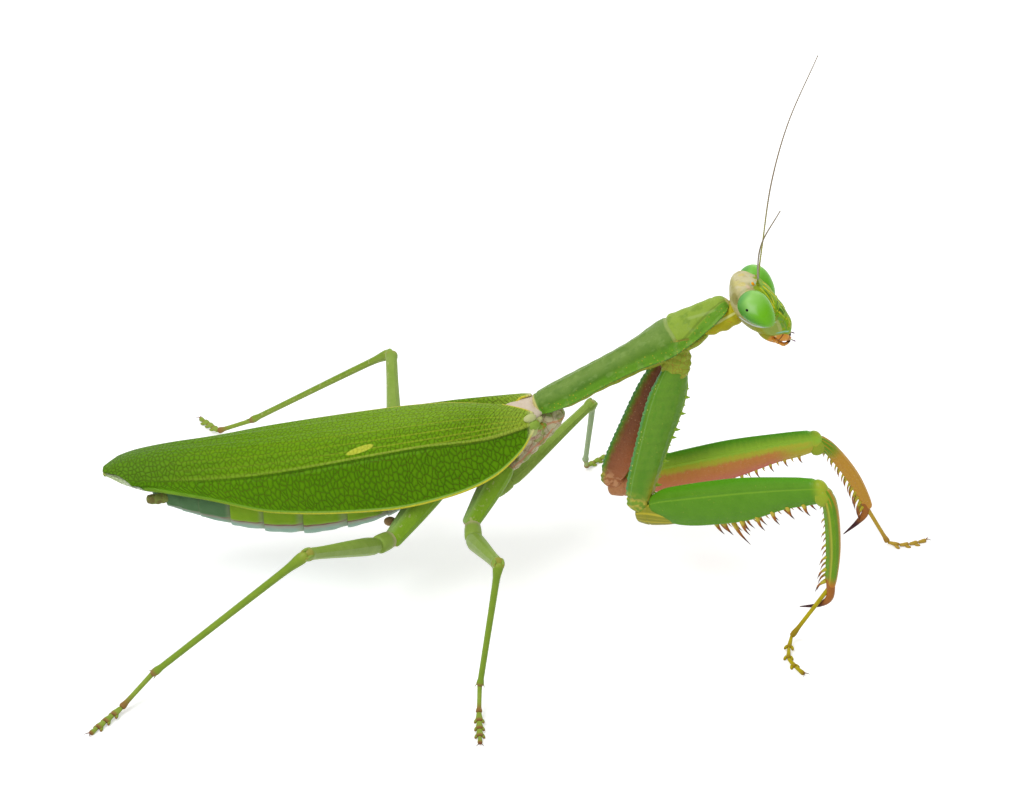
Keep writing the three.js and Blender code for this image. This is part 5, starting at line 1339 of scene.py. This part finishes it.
walk_coxa = leg_finish("walking_coxa", (110, 154, 16), (138, 176, 44), (166, 196, 130), (170, 100, 76),
                       (184, 132, 110))
walk_joint = leg_finish("walking_trochanter", (124, 158, 50), (156, 180, 86), (176, 190, 126),
                        (146, 174, 74), (206, 180, 160), 0.6)
walk_femur = leg_finish("walking_femur", (124, 158, 50), (156, 180, 86), (176, 190, 126),
                        (156, 148, 58), (146, 174, 74))
walk_tibia = leg_finish("walking_tibia", (110, 144, 34), (142, 168, 54), (150, 170, 72),
                        (150, 104, 66), (150, 168, 60))
pale_tibia = leg_finish("walking_tibia_pale", (136, 164, 104), (160, 184, 136), (166, 188, 144),
                        (150, 110, 76), (150, 168, 90))
for pair, thick in (("mid", 1.0), ("hind", 1.1)):
    for label in ("right", "left"):
        leg = Leg(pair, label)
        side, name, sag = leg.side, leg.name, leg.sag
        length = leg.lengths["femur"]
        base_of = leg.thigh + sag * leg.ventral
        top = leg.root - 1.2 * leg.coxa - (0.9 if pair == "mid" else 0.0) * FORWARD
        slim = 0.82 if name == "mid_left" else 1.0
        coxa = limb([top, leg.hip + (0.8 if slim == 1 else 0.1) * leg.coxa], square(FORWARD, leg.coxa), even(
            [[0, 1.3], [0.15, 1.6], [0.5, 1.45], [0.85, 1.12], [0.95, 1.0], [1, 0.85]], 0.9, thick * slim),
            side, 120, 80, 0.5, relief=ridged(0.12, 0.9, 2.2))
        knobs = [lobe((-16.9, side * 4.2, 11.1), (0.75, 0.5, 0.6), 0, 0, 0.0)] if pair == "hind" else []
        piece("leg_coxa_" + name, [coxa, *knobs], walk_coxa, "leg", "coxa_" + name)
        trochanter = limb([leg.hip - 0.3 * leg.coxa - 0.6 * leg.femur, base_of + 0.5 * leg.femur], leg.back, even(
            [[0, 0.65], [0.4, 0.98], [0.8, 1.05], [1, 0.95]], 1.0, thick * slim), side, 60, 60, 0.5,
            relief=lambda t, a, d: -0.09 * bell(t, 0.42, 0.02))
        piece("leg_trochanter_" + name, [trochanter], walk_femur if name == "mid_left" else walk_joint, "leg",
              "trochanter_" + name)
        femur = limb([base_of, leg.thigh + 0.4 * length * leg.femur + 0.6 * sag * leg.ventral,
                      leg.knee + 0.3 * leg.femur],
                     leg.back, even([[0, 0.75], [0.08, 1.05], [0.3, 1], [0.75, 0.72], [0.92, 0.7], [0.97, 0.8],
                                     [1, 0.6]], 1.0, 0.88 if name == "mid_left" else 1.0), side, 200, 70, 0.4,
                     relief=ridged(0.07, 0.5, 1.3, 2.4))
        lobes = [limb([leg.knee - 1.1 * leg.femur + sign * 0.42 * np.cross(leg.femur, leg.back),
                       leg.knee + 0.5 * leg.femur + sign * 0.5 * np.cross(leg.femur, leg.back)], leg.back,
                      [[0, 0.2, 0.5, 0.5], [0.5, 0.3, 0.62, 0.66], [1, 0.16, 0.36, 0.5]], side, 30, 24, 0.3)
                 for sign in (-1, 1)]
        piece("leg_femur_" + name, [femur, *lobes], walk_femur, "leg", "femur_" + name)
        tibia = limb([leg.knee - 0.2 * leg.tibia, leg.knee + leg.tibia + 0.15 * leg.femur, leg.ankle],
                     leg.femur, even(
            [[0, 0.48], [0.04, 0.62], [0.12, 0.42], [0.3, 0.37], [0.7, 0.33], [0.93, 0.34], [0.97, 0.44],
             [1, 0.34]], 1.0, thick), side, 160, 40, 0.25, relief=ridged(0.04, 0.6, 1.6, 2.6))
        spurs = [spike(leg.ankle - 0.5 * leg.tibia + sign * 0.3 * unit(np.cross(leg.tibia, leg.femur)),
                       unit(leg.tibia + 0.5 * sign * unit(np.cross(leg.tibia, leg.femur))),
                       0.2 * leg.tibia, 0.8, 0.12)
                 for sign in (-1, 1)]
        piece("leg_tibia_" + name, [tibia, *spurs], pale_tibia if name == "mid_left" else walk_tibia,
              "leg", "tibia_" + name)

# ------------------------ feet
# Each tarsus has one long segment and four short ones with spreading soles, and ends in two small
# hooked claws. Yellow-green, banded brown at the joints.


def foot_finish(name, low, high, band, strength):
    """Clouded colour, a darker band over the last third of each segment, claws that darken to their tips."""
    foot = cuticle(name, 0.4, 0.05)
    t, _ = foot.uv()
    tip = foot.mark("tip")
    foot.ground(foot.noise(1.2, 2), low, high)
    foot.paint(t.step(0.6, 0.95) * strength, band)
    foot.paint(tip.step(0.005, 0.02), foot.mix(tip.step(0.3, 0.8), band, (60, 34, 24)))
    return foot.wear(foot.noise(3.0, 2), 0.03, 0.4)


walk_foot = foot_finish("tarsus_walking", (126, 156, 46), (156, 174, 76), (150, 94, 62), 0.8)
FORE_FEET = {"right": foot_finish("tarsus_olive", (166, 154, 16), (196, 178, 34), (140, 100, 40), 0.55),
             "left": foot_finish("tarsus_amber", (178, 146, 48), (204, 172, 74), (150, 104, 50), 0.6)}
for pair, radius in (("fore", 0.36), ("mid", 0.38), ("hind", 0.42)):
    for label in ("right", "left"):
        leg = Leg(pair, label)
        ankle, heel = leg.foot[:2]
        if pair == "fore":
            ankle = ankle + 0.3 * square(-leg.femur, leg.tibia)
        parts = [loft([ankle - 0.2 * unit(heel - ankle), heel], UP, even(
            [[0, 0.8], [0.1, 0.72], [0.8, 0.72], [0.94, 1.0], [1, 0.85]], 1.0, radius), 80, 28, 0.15)]
        joints, _, _ = curve(leg.foot[1:], np.linspace(0, 1, 5) ** 0.9)
        for i in range(4):
            ahead = unit(joints[i + 1] - joints[i])
            across = unit(np.cross(UP, ahead))
            start, end = joints[i] - 0.03 * ahead, joints[i + 1] - 0.08 * ahead
            last = i == 3
            wide = 0.75 if last or pair == "fore" else 1.1
            rows = [[0, 0.7 * wide, 0.55, 0.55], [0.3, 0.8 * wide, 0.62, 0.62], [0.8, wide, 0.75, 0.85],
                    [1, 0.75 * wide, 0.6, 0.7]] * np.array([1, radius, radius, radius])
            parts.append(loft([start, end], UP, rows, 40, 28, 0.15))
            for sign in (-1, 1):
                sole = end - 0.25 * ahead + sign * 0.6 * radius * across - 0.3 * radius * UP
                if not last:
                    pad = [sole - 0.3 * ahead, sole + 0.35 * ahead + sign * 0.32 * across - 0.1 * UP]
                    parts.append(loft(pad, UP, even([[0, 0.16], [0.6, 0.2], [1, 0.1]]), 14, 12, 0.1))
        for sign in (-1, 1):
            root = joints[-1] - 0.15 * ahead + 0.1 * UP
            parts.append(spike(root, unit(ahead + sign * 0.55 * across + 0.25 * UP),
                               -0.35 * UP + 0.3 * sign * across, 0.85, 0.11))
        for grid, _, _ in parts:
            grid[..., 2] = np.maximum(grid[..., 2], 0.0)
        piece("foot_%s_%s" % (pair, label), parts, FORE_FEET[label] if pair == "fore" else walk_foot,
              "raptorial" if pair == "fore" else "leg", "tarsus_%s_%s" % (pair, label))
